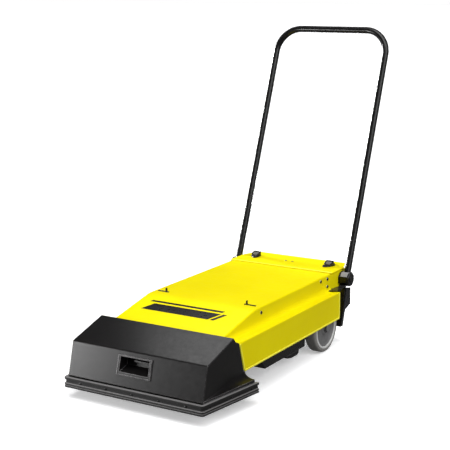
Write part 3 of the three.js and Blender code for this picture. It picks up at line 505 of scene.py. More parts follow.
def grey_case():
    s = Surface("grey_moulded_case", 0.5)
    base = s.mottled((0.050, 0.053, 0.060), (0.075, 0.079, 0.088), 18.0, 4.0)
    dust = s.span(s.noise(40.0, 6.0, 0.7), 0.5, 0.8, 0.0, 0.4)
    s.colour(s.blend(dust, base, (0.13, 0.12, 0.105)))
    s.roughness(s.span(s.noise(80.0, 5.0), 0.3, 0.7, 0.42, 0.62))
    s.bump(s.cells(800.0), 0.06, 0.4)
    return s.material


def decal_vinyl():
    s = Surface("black_vinyl_decal", 0.3, Specular_IOR_Level=0.2)
    base = s.mottled((0.012, 0.011, 0.011), (0.020, 0.018, 0.018), 30.0, 4.0)
    worn = s.span(s.noise(240.0, 5.0, 0.7), 0.66, 0.80, 0.0, 0.5)
    s.colour(s.blend(worn, base, (0.035, 0.032, 0.020)))
    s.roughness(s.span(s.noise(90.0, 4.0), 0.3, 0.7, 0.24, 0.40))
    s.bump(s.noise(700.0, 2.0), 0.03, 0.4)
    return s.material


YELLOW = yellow_paint("yellow_powder_coat", (0.900, 0.758, 0.0015), (0.950, 0.817, 0.0025))
# The hems are painted a brighter yellow than the cover: a painted highlight on the rounded folds.
HEM_PAINTED_HIGHLIGHT = yellow_paint("yellow_hem_painted_highlight", (1.0, 0.90, 0.05), (1.0, 0.94, 0.09))
BRASS = zinc("stained_rivet", (0.26, 0.22, 0.10), (0.36, 0.31, 0.14))
# A grey inlay on the latch paddle's upper slope: a painted highlight for light falling on that face.
PAD_PAINTED_HIGHLIGHT = grey_nylon("grey_latch_pad_painted_highlight", (0.130, 0.125, 0.105), (0.180, 0.173, 0.148))
PLASTIC = black_plastic()
# Its upward faces are painted slightly lighter: a faint painted highlight with dust.
PAINT = black_paint("black_satin_powder_coat", (0.020, 0.019, 0.019))
# The knuckles' upward facets are painted light grey: a painted highlight, not dust.
KNUCKLE = black_paint("black_paint_painted_top_highlight", (0.340, 0.335, 0.340))
PANEL_PAINT = textured_paint()
RUBBER = black_rubber()
TYRE = grey_rubber()
NYLON = grey_nylon("grey_nylon", (0.150, 0.148, 0.150), (0.210, 0.208, 0.212))
RING = light_ring()
ZINC = zinc("zinc_plated_steel", (0.40, 0.40, 0.41), (0.58, 0.58, 0.59))
BRISTLE = bristle_nylon()
CASE = grey_case()
VINYL = decal_vinyl()
SLOT_MATERIAL = {
    "yellow_paint": YELLOW, "black_plastic": PLASTIC, "black_paint": PAINT, "black_rubber": RUBBER,
    "grey_tyre": TYRE, "grey_hub": NYLON, "steel": ZINC, "bristle": BRISTLE, "grey_case": CASE,
}


# ---------------------------------------------------------------- yellow cover
SHEET = 2.5
WALL_X = 186.5
SKIRT_X = 223.3
LEDGE_Z = 176.6
SKIRT_Z = 86.8
TOP_Z = 231.0
BEND_Y = -259.0
BEND_EASE = 16.0
SLOPE = 0.211
CREASE_Y = 234.0
JOGGLE = 3.8
SKIRT_REAR_Y = 229.3
TYRE_CLEAR_Z = 114.0
SKIRT_FRONT_TOP = (-412.5, LEDGE_Z)
SKIRT_FRONT_LOW = (-384.0, SKIRT_Z)


def cover_top(y):
    """Height of the cover's top at a station, with the bend to the front slope eased."""
    start, end = BEND_Y - BEND_EASE, BEND_Y + BEND_EASE
    if y <= start:
        return TOP_Z - SLOPE * (BEND_Y - y)
    if y < end:
        return TOP_Z - SLOPE * (end - y) ** 2 / (4 * BEND_EASE)
    return TOP_Z if y <= CREASE_Y else TOP_Z - JOGGLE


def cover_line(top):
    """Right half of the cover's outer line as (x, z), from the skirt's lower edge to the flat top."""
    edge = 4.0
    fillet = min(16.0, (top - LEDGE_Z) * 0.72)
    bend = min(5.0, (top - LEDGE_Z) * 0.22)
    return [
        (SKIRT_X, SKIRT_Z), *arc(SKIRT_X - edge, LEDGE_Z - edge, edge, 0, 90, 6),
        *arc(WALL_X + fillet, LEDGE_Z + fillet, fillet, 270, 180, 12),
        *arc(WALL_X - bend, top - bend, bend, 0, 90, 6)]


def offset_line(line, distance):
    result = []
    for i, (x, z) in enumerate(line):
        ax, az = line[max(i - 1, 0)]
        bx, bz = line[min(i + 1, len(line) - 1)]
        length = math.hypot(bx - ax, bz - az)
        result.append((x - (bz - az) / length * distance, z + (bx - ax) / length * distance))
    return result


def cover_section(y, top):
    right = cover_line(top)
    outer = right + [(-x, z) for x, z in reversed(right)]
    inner = offset_line(outer, SHEET)
    return [(x, y, z) for x, z in outer + inner[::-1]]


def build_cover():
    low, high = cad_box("main_cover")
    front, rear = low.y, high.y
    eased = [BEND_Y - BEND_EASE + 4 * i for i in range(9)]
    stations = [(y, cover_top(y)) for y in [front, -430.0, -400.0, -360.0, -315.0, *eased, -100.0, 60.0]]
    stations += [(CREASE_Y - 1.2, TOP_Z), (CREASE_Y, TOP_Z - 0.7), (CREASE_Y + 1.0, TOP_Z - JOGGLE)]
    stations += [(rear, TOP_Z - JOGGLE)]
    cover = raw_object("cover_sheet", loft([cover_section(y, top) for y, top in stations]))
    under, over, before = 60, 250, -480
    slant = [(before, under), (-375.5, under), SKIRT_FRONT_TOP, (-414.5, over), (before, over)]
    behind = block((WALL_X, SKIRT_REAR_Y, under), (260, 420, over))
    corner = prism_x(slant, SKIRT_X - 5, 240)
    for tool in (corner, mirrored(corner), behind, mirrored(behind)):
        combine(cover, tool, "DIFFERENCE")
    wall_low = 92
    low_wall = prism_x([
        (SKIRT_REAR_Y - 3, TYRE_CLEAR_Z), (SKIRT_REAR_Y + 2, TYRE_CLEAR_Z),
        (SKIRT_REAR_Y + 8, wall_low), (rear, wall_low),
        (rear, LEDGE_Z + 12), (SKIRT_REAR_Y - 3, LEDGE_Z + 12)], WALL_X - SHEET, WALL_X)
    flange = block(
        (WALL_X - SHEET, SKIRT_REAR_Y - SHEET, TYRE_CLEAR_Z), (SKIRT_X - 1, SKIRT_REAR_Y, LEDGE_Z - 2))
    for extra in (low_wall, mirrored(low_wall), flange, mirrored(flange)):
        combine(cover, extra, "UNION")
    smooth(cover, 32)
    piece(cover, "chassis", YELLOW, ["main_cover"])


def build_hems():
    """The folded hem round the front, lower and rear edges of each skirt, painted a brighter yellow as a
    highlight.
    """
    inset = 2.4
    front_low = (SKIRT_FRONT_LOW[0] + 1.6, SKIRT_Z + inset)
    path = rounded([
        (SKIRT_FRONT_TOP[0] + 3.5, LEDGE_Z - 4), front_low, (SKIRT_REAR_Y - inset, SKIRT_Z + inset),
        (SKIRT_REAR_Y - inset, LEDGE_Z - 4)], [0, 5, 5, 0], 5)
    points = [(SKIRT_X - 1.4, y, z) for y, z in path]
    section = rounded([(-3.0, -2.3), (3.0, -2.3), (3.0, 3.0), (-3.0, 3.0)], [0.4, 0.4, 2.8, 2.8], 6)

    def build(side, mirror):
        hem = sweep(points, section, (1, 0, 0))
        solid_piece(f"skirt_hem_{side}", mirror(hem), "chassis", HEM_PAINTED_HIGHLIGHT)

    on_both_sides(build)


def build_lid():
    low, high = cad_box("rear_deck")
    chamfer_y, rear_x = 325.0, 167.0
    outline = rounded([
        (low.x, low.y), (high.x, low.y), (high.x, chamfer_y), (rear_x, high.y), (-rear_x, high.y),
        (low.x, chamfer_y)], [1.5, 1.5, 14, 10, 10, 14], 6)
    thick = 3.0
    lid = raw_object("lid_sheet", prism_z(outline, high.z - thick, high.z), 1.1, 3)
    lip = prism_y(rounded([
        (-rear_x + 6, low.z), (rear_x - 6, low.z), (rear_x - 6, high.z - 1.2), (-rear_x + 6, high.z - 1.2)],
        [6, 6, 0, 0], 5), high.y - thick, high.y - 0.3)
    combine(lid, lip, "UNION")
    smooth(lid, 40)
    piece(lid, "lid", YELLOW, ["rear_deck"])
    rivets = together(*[dome((x, 313.5, high.z), 4.4, 1.6) for x in (-20.0, 5.0)])
    solid_piece("lid_rivets", rivets, "lid", BRASS)
    # A raised bead on the lid's front edge, painted the brighter hem yellow as a highlight line.
    bead = [(low.y + 0.4, high.z - 1.0), (low.y + 5.4, high.z - 1.0), (low.y + 5.4, high.z + 0.2),
            (low.y + 4.0, high.z + 1.1), (low.y + 1.8, high.z + 1.1), (low.y + 0.4, high.z)]
    hem = prism_x(rounded(bead, 0.6, 3), low.x + 2, high.x - 2)
    solid_piece("lid_front_hem", hem, "lid", HEM_PAINTED_HIGHLIGHT)


def dome(centre, radius, height, axis="Z", sign=1):
    """A rivet head or button standing on a face at centre."""
    profile = [(0, -0.6 * sign), (radius, -0.6 * sign)]
    for i in range(7):
        angle = math.radians(90 * i / 6)
        profile.append((radius * math.cos(angle), sign * height * math.sin(angle)))
    profile[-1] = (0, sign * height)
    return turned(profile, centre, axis, 20)


def build_cover_screws():
    """Four dark domed screws in each side wall, each on a thin bright washer."""
    places = [(-226.0, 213.5), (162.0, 220.0), (209.0, 218.7), (210.0, 193.3)]
    head = [(0, -0.5), (4.9, -0.5), (4.9, 0.9), (4.4, 2.0), (3.2, 2.9), (1.6, 3.3), (0, 3.4)]
    washer = [(0, -0.6), (5.7, -0.6), (5.7, 0.5), (5.3, 0.9), (0, 0.9)]

    def at_places(profile, sign):
        line = [(r, sign * a) for r, a in profile]
        return together(*[turned(line, (sign * (WALL_X + 0.4), y, z), "X", 24) for y, z in places])

    def build(side, _):
        sign = 1 if side == "right" else -1
        solid_piece(f"cover_screws_{side}", at_places(head, sign), "chassis", PAINT)
        solid_piece(f"cover_washers_{side}", at_places(washer, sign), "chassis", ZINC)

    on_both_sides(build)


def build_stripes():
    """A bold bar, a short bar and a thin line on the front slope, with slanted ends."""
    lift, slant = 0.6, 0.55
    bar, line = (-358.0, -318.0), (-309.0, -300.0)
    left_end, right_end = -146.0, 104.0
    shapes = []
    marks = ((bar, left_end, 84.0), (bar, 92.0, right_end), (line, left_end, right_end))
    for (low, high), left, right in marks:
        corners = []
        for y in (low, high):
            shift = (y - low) * slant
            corners.append([(left + shift, y), (right + shift, y)])
        (a, b), (c, d) = corners
        rings = [[(x, y, cover_top(y) + rise) for x, y in (a, b, d, c)] for rise in (-0.2, lift)]
        shapes.append(loft(rings))
    solid_piece("slope_stripes", together(*shapes), "chassis", VINYL)


# ---------------------------------------------------------------- brush head
HEAD_FRONT_Y = -610.0
HEAD_REAR_Y = -378.0
HEAD_HALF = (224.0, 255.0)
HOOD_X = 225.4
HOOD_WALL = 3.5
HOOD_LOW = 62.0
FACE_LOW = (-607.0, 62.0)
RIDGE = (-582.6, 159.5)
TOP_EDGE = (-446.5, 200.5)
HOOD_REAR = [(-389.5, 80.0), (-417.0, 178.0), (-436.0, 187.0)]
FOOT_REAR_Y = -388.0
FOOT_OUT = 33.0
BUMPER_THICK = 9.7
BUMPER_CHANNEL = 4.2
GRIP = {"x": -4.7, "z": 119.7, "half": 57.25, "rise": 29.0, "depth": 36.0}
GRIP_RIM = {"side": 8.6, "top": 4.8, "bottom": 9.6}


def base_half(y):
    t = (y - HEAD_FRONT_Y) / (HEAD_REAR_Y - HEAD_FRONT_Y)
    return HEAD_HALF[0] + t * (HEAD_HALF[1] - HEAD_HALF[0])


def hood_foot():
    """The foot that sweeps outward below a side wall of the hood."""
    sections = []
    stations = 16
    front, apex = -604.0, -606.0
    for s in range(stations + 1):
        y = front + (FOOT_REAR_Y - front) * s / stations
        t = (y - apex) / (FOOT_REAR_Y - apex)
        out = max(FOOT_OUT * t, 0.6)
        rim = HOOD_LOW + 4 + 5 * t
        rise = out * 0.62
        quarter = arc(0, 0, 1, 270, 180, 12)
        sweep_points = [(HOOD_X + out + a * out, rim + rise + b * rise) for a, b in quarter]
        lip = min(1.6, out * 0.5)
        section = [
            (HOOD_X - 2, HOOD_LOW), (HOOD_X + out, HOOD_LOW), (HOOD_X + out, rim - lip),
            (HOOD_X + out - lip * 0.3, rim - lip * 0.3), *sweep_points[1:], (HOOD_X - 2, rim + rise)]
        sections.append([(x, y, z) for x, z in section])
    return loft(sections)


def on_face(shape):
    """Carries a shape from the face's own frame (y inward, z up the face) to its place on the hood."""
    lean = math.atan2(RIDGE[0] - FACE_LOW[0], RIDGE[1] - FACE_LOW[1])
    y = FACE_LOW[0] + (GRIP["z"] - FACE_LOW[1]) * math.tan(lean)
    place = Matrix.Translation((GRIP["x"], y, GRIP["z"])) @ Matrix.Rotation(-lean, 4, "X")
    return moved(shape, place)


def build_hood():
    outline = [FACE_LOW, (HOOD_REAR[0][0], HOOD_LOW), *HOOD_REAR, TOP_EDGE, RIDGE]
    outline = rounded(outline, [0, 0, 0, 4, 3, 3.5, 7], 5)
    hood = raw_object("hood_shell", prism_x(outline, -HOOD_X, HOOD_X), 2.6, 4, 60)
    foot = hood_foot()
    combine(hood, foot, "UNION")
    combine(hood, mirrored(foot), "UNION")
    w = HOOD_WALL
    inside = rounded([
        (FACE_LOW[0] + w - 5, FACE_LOW[1] - 20), (-300, FACE_LOW[1] - 20), (-300, TOP_EDGE[1] + 44 - w),
        (TOP_EDGE[0], TOP_EDGE[1] - w), (RIDGE[0] + w * 0.7, RIDGE[1] - w)], [0, 0, 0, 0, 5], 4)
    combine(hood, prism_x(inside, -HOOD_X + w, HOOD_X - w), "DIFFERENCE")
    half, low, high = GRIP["half"] - 3.7, -GRIP["rise"] + 3.7, GRIP["rise"] - 2.1
    combine(hood, on_face(block((-half, -20, low), (half, 20, high))), "DIFFERENCE")
    smooth(hood, 30)
    piece(hood, "hopper", PLASTIC, ["hopper_hood"])


def build_grip():
    """The recess: a proud frame, a cup behind it, a floor that slopes up inward and a bar to pull on."""
    half, rise, depth = GRIP["half"], GRIP["rise"], GRIP["depth"]
    side, low, high = half - GRIP_RIM["side"], -rise + GRIP_RIM["bottom"], rise - GRIP_RIM["top"]
    frame_outline = rounded([(-half, -rise), (half, -rise), (half, rise), (-half, rise)], 3.0, 5)
    cup = raw_object("grip_recess", on_face(prism_y(frame_outline, -2.6, -0.3)), 1.0, 3)
    body = rounded([
        (-half + 4, -rise + 4), (half - 4, -rise + 4), (half - 4, rise - 2.4), (-half + 4, rise - 2.4)], 2)
    combine(cup, on_face(prism_y(body, -1.0, depth)), "UNION")
    inner = depth - 2.5
    pocket = [(-9, low), (0, low), (inner - 4, low + 15), (inner, low + 19), (inner, high - 2), (-9, high)]
    combine(cup, on_face(prism_x(rounded(pocket, [0, 2, 3, 3, 2, 0], 4), -side, side)), "DIFFERENCE")
    smooth(cup, 35)
    piece(cup, "hopper", PLASTIC, ["grip_cup"])

    def inset(across, up, down, corner):
        right, bottom, top = half - across, -rise + down, rise - up
        return rounded([(-right, bottom), (right, bottom), (right, top), (-right, top)], corner, 5)

    ridge = raw_object("grip_ridge", on_face(prism_y(inset(1.6, 1.2, 1.2, 2.4), -3.6, -1.6)), 0.8, 3)
    combine(ridge, on_face(prism_y(inset(4.2, 3.0, 3.8, 1.8), -9, 9)), "DIFFERENCE")
    smooth(ridge, 35)
    piece(ridge, "hopper", PLASTIC)
    bar = prism_x(rounded([(8, 13.2), (8, 18.3), (27, 19.6), (27, 13.2)], 1.2, 3), -7.0, 42.0)
    solid_piece("grip_bar", on_face(bar), "hopper", PLASTIC, 0.6, 2)


def bumper_section():
    """The bumper's ribbed section as (outward offset, z), its edges rounded."""
    low, high = cad_box("bumper_strip")
    t = BUMPER_THICK
    channel = t - BUMPER_CHANNEL
    corners = [
        (0, low.z), (t, low.z), (t, 35.2), (t - 2.4, 36.4), (t - 2.4, 37.2), (t, 38.4), (t, 42.0),
        (channel, 43.4), (channel, 52.2), (t, 53.6), (t, high.z), (0, high.z)]
    return rounded(corners, [0, 1.8, 1.4, 0.5, 0.5, 1.4, 1.4, 0.7, 0.7, 1.6, 1.8, 0], 3)


def bumper_stations():
    """(x, y, direction, least offset) round the right half of the bumper, rear to front."""
    rear_y = HEAD_REAR_Y + 3
    rear_x = base_half(rear_y) + 0.6
    front_x = base_half(HEAD_FRONT_Y) + 0.6
    front_y = HEAD_FRONT_Y - 0.3
    corner = 0.5
    lean = math.atan2(rear_x - front_x, rear_y - front_y)
    stations = [(rear_x, rear_y, -lean, 0.0)]
    steps = 12
    for i in range(steps + 1):
        turn = -lean + (lean - math.pi / 2) * i / steps
        stations.append((front_x - corner, front_y + corner, turn, corner))
    return stations


def build_bumper():
    section = bumper_section()
    right = []
    for x, y, turn, least in bumper_stations():
        reach = [(max(out, least), z) for out, z in section]
        right.append([(x + r * math.cos(turn), y + r * math.sin(turn), z) for r, z in reach])
    left = [[(-x, y, z) for x, y, z in ring] for ring in reversed(right)]
    strip = loft(right + left)
    solid_piece("bumper_rubber", strip, "chassis", RUBBER, replaces=["bumper_strip"])
    build_bumper_rivets()


def build_bumper_rivets():
    """Rivets along the bumper's channel: five in front and three on each side."""
    web = BUMPER_THICK - BUMPER_CHANNEL
    z = 47.8
    radius, height = 3.6, 1.8
    shapes = []
    front_y = HEAD_FRONT_Y - 0.3 - web
    spacing = 88.0
    for i in range(-2, 3):
        shapes.append(dome((i * spacing, front_y, z), radius, height, "Y", -1))
    (rear_x, rear_y, turn, _), (front_x, base_y, _, _) = bumper_stations()[:2]
    for t in (0.12, 0.5, 0.88):
        x = rear_x + (front_x - rear_x) * t + web * math.cos(turn)
        y = rear_y + (base_y - rear_y) * t + web * math.sin(turn)
        for side in (1, -1):
            shapes.append(dome((side * x, y, z), radius, height, "X", side))
    solid_piece("bumper_rivets", together(*shapes), "chassis", PAINT)


def build_brush():
    """Tufts of separate bristles in slowly winding rows, standing in the core."""
    low, high = cad_box("brush_bristles")
    centre_y, centre_z = (low.y + high.y) / 2, (low.z + high.z) / 2
    reach = (high.z - low.z) / 2 - 0.4
    root = 21.0
    rows, tufts, strands = 6, 46, 8
    shapes = []
    for row in range(rows):
        for tuft in range(tufts):
            t = tuft / (tufts - 1)
            x = low.x + 3 + t * (high.x - low.x - 6)
            middle = math.radians(360 * row / rows + 50 * t + 20)
            for _ in range(strands):
                angle = middle + random.uniform(-0.16, 0.16)
                lean = random.uniform(-2.5, 2.5)
                length = reach - random.uniform(0.0, 2.0)
                shapes.append(strand(x, centre_y, centre_z, angle, root, length, lean))
    obj = raw_object("bristle_tufts", together(*shapes))
    piece(obj, "brush", BRISTLE, ["brush_bristles"])


def strand(x, y, z, angle, root, tip, lean):
    """One bristle: a slim three-sided spike."""
    radius = 0.75
    thirds = (0.0, 2.094, 4.189)
    out = Vector((0, math.cos(angle), math.sin(angle)))
    side = Vector((0, -math.sin(angle), math.cos(angle)))
    along = Vector((1, 0, 0))
    base = Vector((x, y, z)) + out * root
    end = Vector((x + lean, y, z)) + out * tip
    rings = []
    for centre, r in ((base, radius), (end, radius * 0.55)):
        rings.append([
            tuple(centre + side * (r * math.cos(a)) + along * (r * math.sin(a)))
            for a in thirds])
    return loft(rings)


# ---------------------------------------------------------------- wheels
def build_wheels():
    low, high = cad_box("tyre_right")
    y, z = (low.y + high.y) / 2, (low.z + high.z) / 2
    r = (high.z - low.z) / 2
    x0, x1 = low.x, high.x
    seat = 62.4

    def inner(*points):
        return [(radius, x0 + depth) for radius, depth in points]

    def outer(*points):
        return [(radius, x1 - depth) for radius, depth in points]

    tread = [
        *inner((seat, 3), (67, 1.2), (r - 6, 0.2), (r - 3.4, 1.2), (r - 1.4, 3.6), (r - 0.3, 7),
               (r, 11)),
        (r, (x0 + x1) / 2),
        *outer((r, 11), (r - 0.3, 7), (r - 1.4, 3.6), (r - 3.4, 1.6), (r - 6.0, 0.8), (70.4, 0.8),
               (69.2, 1.6), (68.9, 3.6), (seat, 4.0))]
    disc = [
        *inner((8.6, 1), (20, 1), (20, 12), (50, 14), (55, 4), (61.4, 3)),
        *outer((61.4, 4), (59.0, 4.2), (57.0, 5.6), (54.6, 8.0), (51.5, 9.2), (38, 8.6), (27, 7.6),
               (24.5, 6.0), (22.4, 3.2), (20.4, 2.2), (13.6, 2.2), (13.6, 2.6), (8.6, 2.6))]
    hub = outer((12.8, 3.0), (17.6, 3.0), (17.4, 1.6), (16.4, 1.0), (14.2, 1.0))
    edge = outer((61.9, 4.8), (61.8, 2.4), (62.8, 1.0), (64.6, 0.6), (66.8, 0.6), (68.2, 1.2), (68.7, 2.4),
                 (68.7, 3.4), (62.6, 3.8))

    def build(side, mirror):
        body = f"wheel_{side}"
        solid_piece(f"tyre_rubber_{side}", mirror(turned(tread, (0, y, z), "X", 96)), body, TYRE,
                    replaces=[f"tyre_{side}"])
        rim = raw_object(f"wheel_disc_{side}", mirror(turned(disc, (0, y, z), "X", 72)))
        smooth(rim, 35)
        piece(rim, body, NYLON, [f"wheel_rim_{side}"])
        solid_piece(f"wheel_ring_{side}", mirror(turned(edge, (0, y, z), "X", 96)), body, RING)
        solid_piece(f"hub_cap_{side}", mirror(turned(hub, (0, y, z), "X", 48)), body, PLASTIC)

    on_both_sides(build)


# ---------------------------------------------------------------- handle
PIVOT_Y, PIVOT_Z = 311.0, 200.0
LEG_X = 207.0
BAR = (609.0, 995.0)
BEND_R = 84.0
TUBE_R = 11.0


def handle_frame():
    """Carries the upright handle onto the posts, leant back about the pivot axis."""
    lean = math.atan2(BAR[0] - PIVOT_Y, BAR[1] - PIVOT_Z)
    return Matrix.Translation((0, PIVOT_Y, PIVOT_Z)) @ Matrix.Rotation(-lean, 4, "X")


def build_handle():
    length = math.hypot(BAR[0] - PIVOT_Y, BAR[1] - PIVOT_Z)
    inner, low = LEG_X - BEND_R, length - BEND_R
    start = 13.0
    path = [(-LEG_X, start), (-LEG_X, 300.0), (-LEG_X, 550.0)]
    path += arc(-inner, low, BEND_R, 180, 90, 18)
    path += [(0.0, length)]
    path += arc(inner, low, BEND_R, 90, 0, 18)
    path += [(LEG_X, 550.0), (LEG_X, 300.0), (LEG_X, start)]
    ring = arc(0, 0, TUBE_R, 0, 360 - 360 / 36, 35)
    tube = sweep([(x, 0.0, z) for x, z in path], ring, (0, 1, 0))
    solid_piece("handle_bar", moved(tube, handle_frame()), "handle", PAINT,
                replaces=["handle_tube"])


def build_knuckles():
    low, high = cad_box("handle_knuckle_right")
    radius = (high.z - low.z) / 2 / math.cos(math.pi / 8)
    ring = arc(PIVOT_Y, PIVOT_Z, radius, 22.5, 337.5, 7)
    bore_r, foot, head = TUBE_R + 0.5, 9, 60
    upright_bore = turned([(0, foot), (bore_r, foot), (bore_r, head), (0, head)], (LEG_X, 0, 0), "Z", 32)
    bore = moved(upright_bore, handle_frame())

    def build(side, mirror):
        knuckle = raw_object(f"knuckle_{side}", mirror(prism_x(ring, low.x, high.x)), 2.2, 4, 30)
        combine(knuckle, mirror(bore), "DIFFERENCE")
        smooth(knuckle, 35)
        piece(knuckle, "handle", KNUCKLE, [f"handle_knuckle_{side}"])

    on_both_sides(build)


def build_knobs():
    """Octagonal clamp knobs with chamfered edges, a shallow dish and a round boss."""
    low, high = cad_box("clamp_knob_right")
    radius = (high.z - low.z) / 2 / math.cos(math.pi / 8)
    x0, x1 = low.x, high.x
    face = x1 - 1.4

    def octagon(x, scale):
        return [(x, y, z) for y, z in arc(PIVOT_Y, PIVOT_Z, radius * scale, 22.5, 337.5, 7)]

    body = loft([octagon(x0, 0.93), octagon(x0 + 1.2, 1.0), octagon(face - 2.0, 1.0), octagon(face, 0.90),
                 octagon(face, 0.76), octagon(face - 0.9, 0.72)])
    boss = turned([
        (0, face - 3), (12, face - 3), (12, x1 - 1.0), (11.2, x1 - 0.2), (7, x1 - 0.2), (6.4, x1 - 0.9),
        (0, x1 - 0.9)], (0, PIVOT_Y, PIVOT_Z), "X", 40)

    def build(side, mirror):
        solid_piece(f"knob_{side}", mirror(together(body, boss)), f"knob_{side}", PAINT,
                    0.5, 2, 20, replaces=[f"clamp_knob_{side}"])

    on_both_sides(build)


# ---------------------------------------------------------------- latches
LID_LATCH = (138.5, 319.0)


def build_lid_latches():
    """A low base pointed at both ends, a wedge-shaped paddle on it and a grey pad on the paddle's slope, the
    pad's grey a painted highlight of light falling on that slope.
    """
    low, _ = cad_box("lid_latch_right")
    x, y = LID_LATCH
    z = cad_box("rear_deck")[1].z
    long, wide, askew = 31.0, 16.0, -0.26

    def lens(scale, height):
        bow = (long * long - wide * wide) / (2 * wide)
        open_angle = math.degrees(math.asin(long / (bow + wide)))
        line = arc(-bow, 0, bow + wide, -open_angle, open_angle, 16)[:-1]
        line += arc(bow, 0, bow + wide, 180 - open_angle, 180 + open_angle, 16)[:-1]
        turn = Matrix.Rotation(askew, 2)
        return [(x + p.x, y + p.y, height) for p in (turn @ (Vector(q) * scale) for q in line)]

    base = loft([lens(0.97, z + 0.4), lens(1.0, z + 1.2), lens(1.0, z + 3.0), lens(0.93, z + 4.2)])
    half, chamfer = 15.0, 5.0
    heights = [(-13, 5.4), (-5, 10.4), (6.0, 13.6), (9, 14.6), (13, 12.5)]
    halves = [half - chamfer, half, half, half - 1.0, half - chamfer]
    right_side = [(w, a, h) for (a, h), w in zip(heights, halves)]
    top = [(-w, a, h) for w, a, h in right_side] + right_side[::-1]
    body = loft([[(x + a, y + b, z + 3) for a, b, _ in top], [(x + a, y + b, z + h) for a, b, h in top]])
    stem = turned([(0, low.z), (5.6, low.z), (5.6, z + 2), (0, z + 2)], (x, y, 0), "Z", 24)
    pad_line = [(-6.4, -9.6), (6.8, -9.6), (9.4, -4.0), (9.4, 4.6), (-8.8, 4.6), (-8.8, -4.0)]

    def slope(b):
        (b0, h0), (b1, h1), (b2, h2) = heights[:3]
        return h0 + (h1 - h0) * (b - b0) / (b1 - b0) if b < b1 else h1 + (h2 - h1) * (b - b1) / (b2 - b1)

    pad = loft([[(x + a, y + b, z + slope(b) + rise) for a, b in pad_line] for rise in (-1.0, 0.7)])
    rim = [(5.6, 12.0), (12.4, 11.4), (12.4, 13.8), (10.4, 16.6), (7.0, 16.6), (5.6, 15.0)]
    bar = prism_x([(y + a, z + b) for a, b in rim], x - half + 2.4, x + half - 2.4)

    def build(side, mirror):
        shape = mirror(together(base, body, stem, bar))
        solid_piece(f"latch_body_{side}", shape, f"latch_{side}", PAINT, 0.5, 2,
                    replaces=[f"lid_latch_{side}"])
        solid_piece(f"latch_pad_{side}", mirror(pad), f"latch_{side}", PAD_PAINTED_HIGHLIGHT, 0.3, 2)

    on_both_sides(build)


def build_turn_latches():
    low, high = cad_box("turn_latch_right")
    x, y = 141.0, (low.y + high.y) / 2
    floor_z = TOP_Z + 0.3
    arm_line = [(low.x, y - 3), (high.x, y - 2.2), (high.x, y + 2.2), (low.x, y + 3)]
    arm = prism_z(rounded(arm_line, [3, 2, 2, 3], 4), floor_z, floor_z + 2.2)
    tab_line = [(x - 2, floor_z + 1), (x + 2, floor_z + 1), (x + 1.6, high.z), (x - 1.6, high.z)]
    tab = prism_y(rounded(tab_line, [0, 0, 1.4, 1.4], 4), y - 3.3, y + 3.3)
    stem = turned([(0, low.z), (3.8, low.z), (3.8, floor_z + 1), (0, floor_z + 1)], (x, y, 0), "Z", 20)

    def build(side, mirror):
        shape = mirror(together(arm, tab, stem))
        solid_piece(f"catch_{side}", shape, f"catch_{side}", PAINT, 0.5, 2,
                    replaces=[f"turn_latch_{side}"])

    on_both_sides(build)


# ---------------------------------------------------------------- rear panel
def trim(outer, inner, y0, y1):
    """A flat ring standing on a face that looks along Y, between two (x, z) outlines."""
    rings = ((outer, y0), (outer, y1), (inner, y1), (inner, y0))
    return loft([[(x, y, z) for x, z in line] for line, y in rings], loop=True)


def build_panel_trim():
    """Bright rings round the switch and the socket, and screws near the panel's corners."""
    low, high = cad_box("rear_panel")
    y0, y1 = high.y - 0.4, high.y + 1.1
    switch_low, switch_high = cad_box("power_switch")
    socket_low, socket_high = cad_box("charge_socket")

    def around_switch(gap):
        x0, x1 = switch_low.x - gap, switch_high.x + gap
        z0, z1 = switch_low.z - gap, switch_high.z + gap
        return rounded([(x0, z0), (x1, z0), (x1, z1), (x0, z1)], [gap] * 4, 4)

    def around_socket(gap):
        middle_x, middle_z = (socket_low.x + socket_high.x) / 2, (socket_low.z + socket_high.z) / 2
        return arc(middle_x, middle_z, (socket_high.x - socket_low.x) / 2 + gap, 0, 352.5, 47)

    rings = together(trim(around_switch(4.4), around_switch(2.2), y0, y1),
                     trim(around_socket(3.2), around_socket(0.6), y0, y1))
    solid_piece("panel_trim", rings, "chassis", ZINC, 0.3, 2)
    corner_x = high.x - 12.0
    heads = [dome((side * corner_x, high.y, z), 4.6, 2.4, "Y")
             for side in (-1, 1) for z in (low.z + 16.0, high.z - 30.0)]
    solid_piece("panel_screws", together(*heads), "chassis", ZINC)


# ---------------------------------------------------------------- CAD nodes that stay
def dress_cad_nodes():
    """Every CAD node that still shows gets its slot's material and a fine rounding on its edges."""
    slot_of = {row["node"]: row["material_slot"] for row in frame["record"]["subparts"]}
    for name, node in frame["nodes"].items():
        node.data.materials.clear()
        node.data.materials.append(PANEL_PAINT if name == "rear_panel" else SLOT_MATERIAL[slot_of[name]])
        weld = node.modifiers.new("weld", "WELD")
        weld.merge_threshold = 1e-6
        bevel = node.modifiers.new("edges", "BEVEL")
        bevel.width = 0.7 * MM
        bevel.segments = 2
        bevel.limit_method = "ANGLE"
        bevel.angle_limit = math.radians(40)
        bevel.harden_normals = True


# ---------------------------------------------------------------- stage and light
def camera_ray(nodes):
    return nodes.new("ShaderNodeLightPath").outputs["Is Camera Ray"]


FLOOR_BOUNCE, FLOOR_SEEN = (0.10, 0.10, 0.10, 1.0), (0.99, 0.99, 1.0, 1.0)
GLOW_BOUNCE, GLOW_SEEN = 0.07, 0.32
WORLD_LIGHT = 0.08


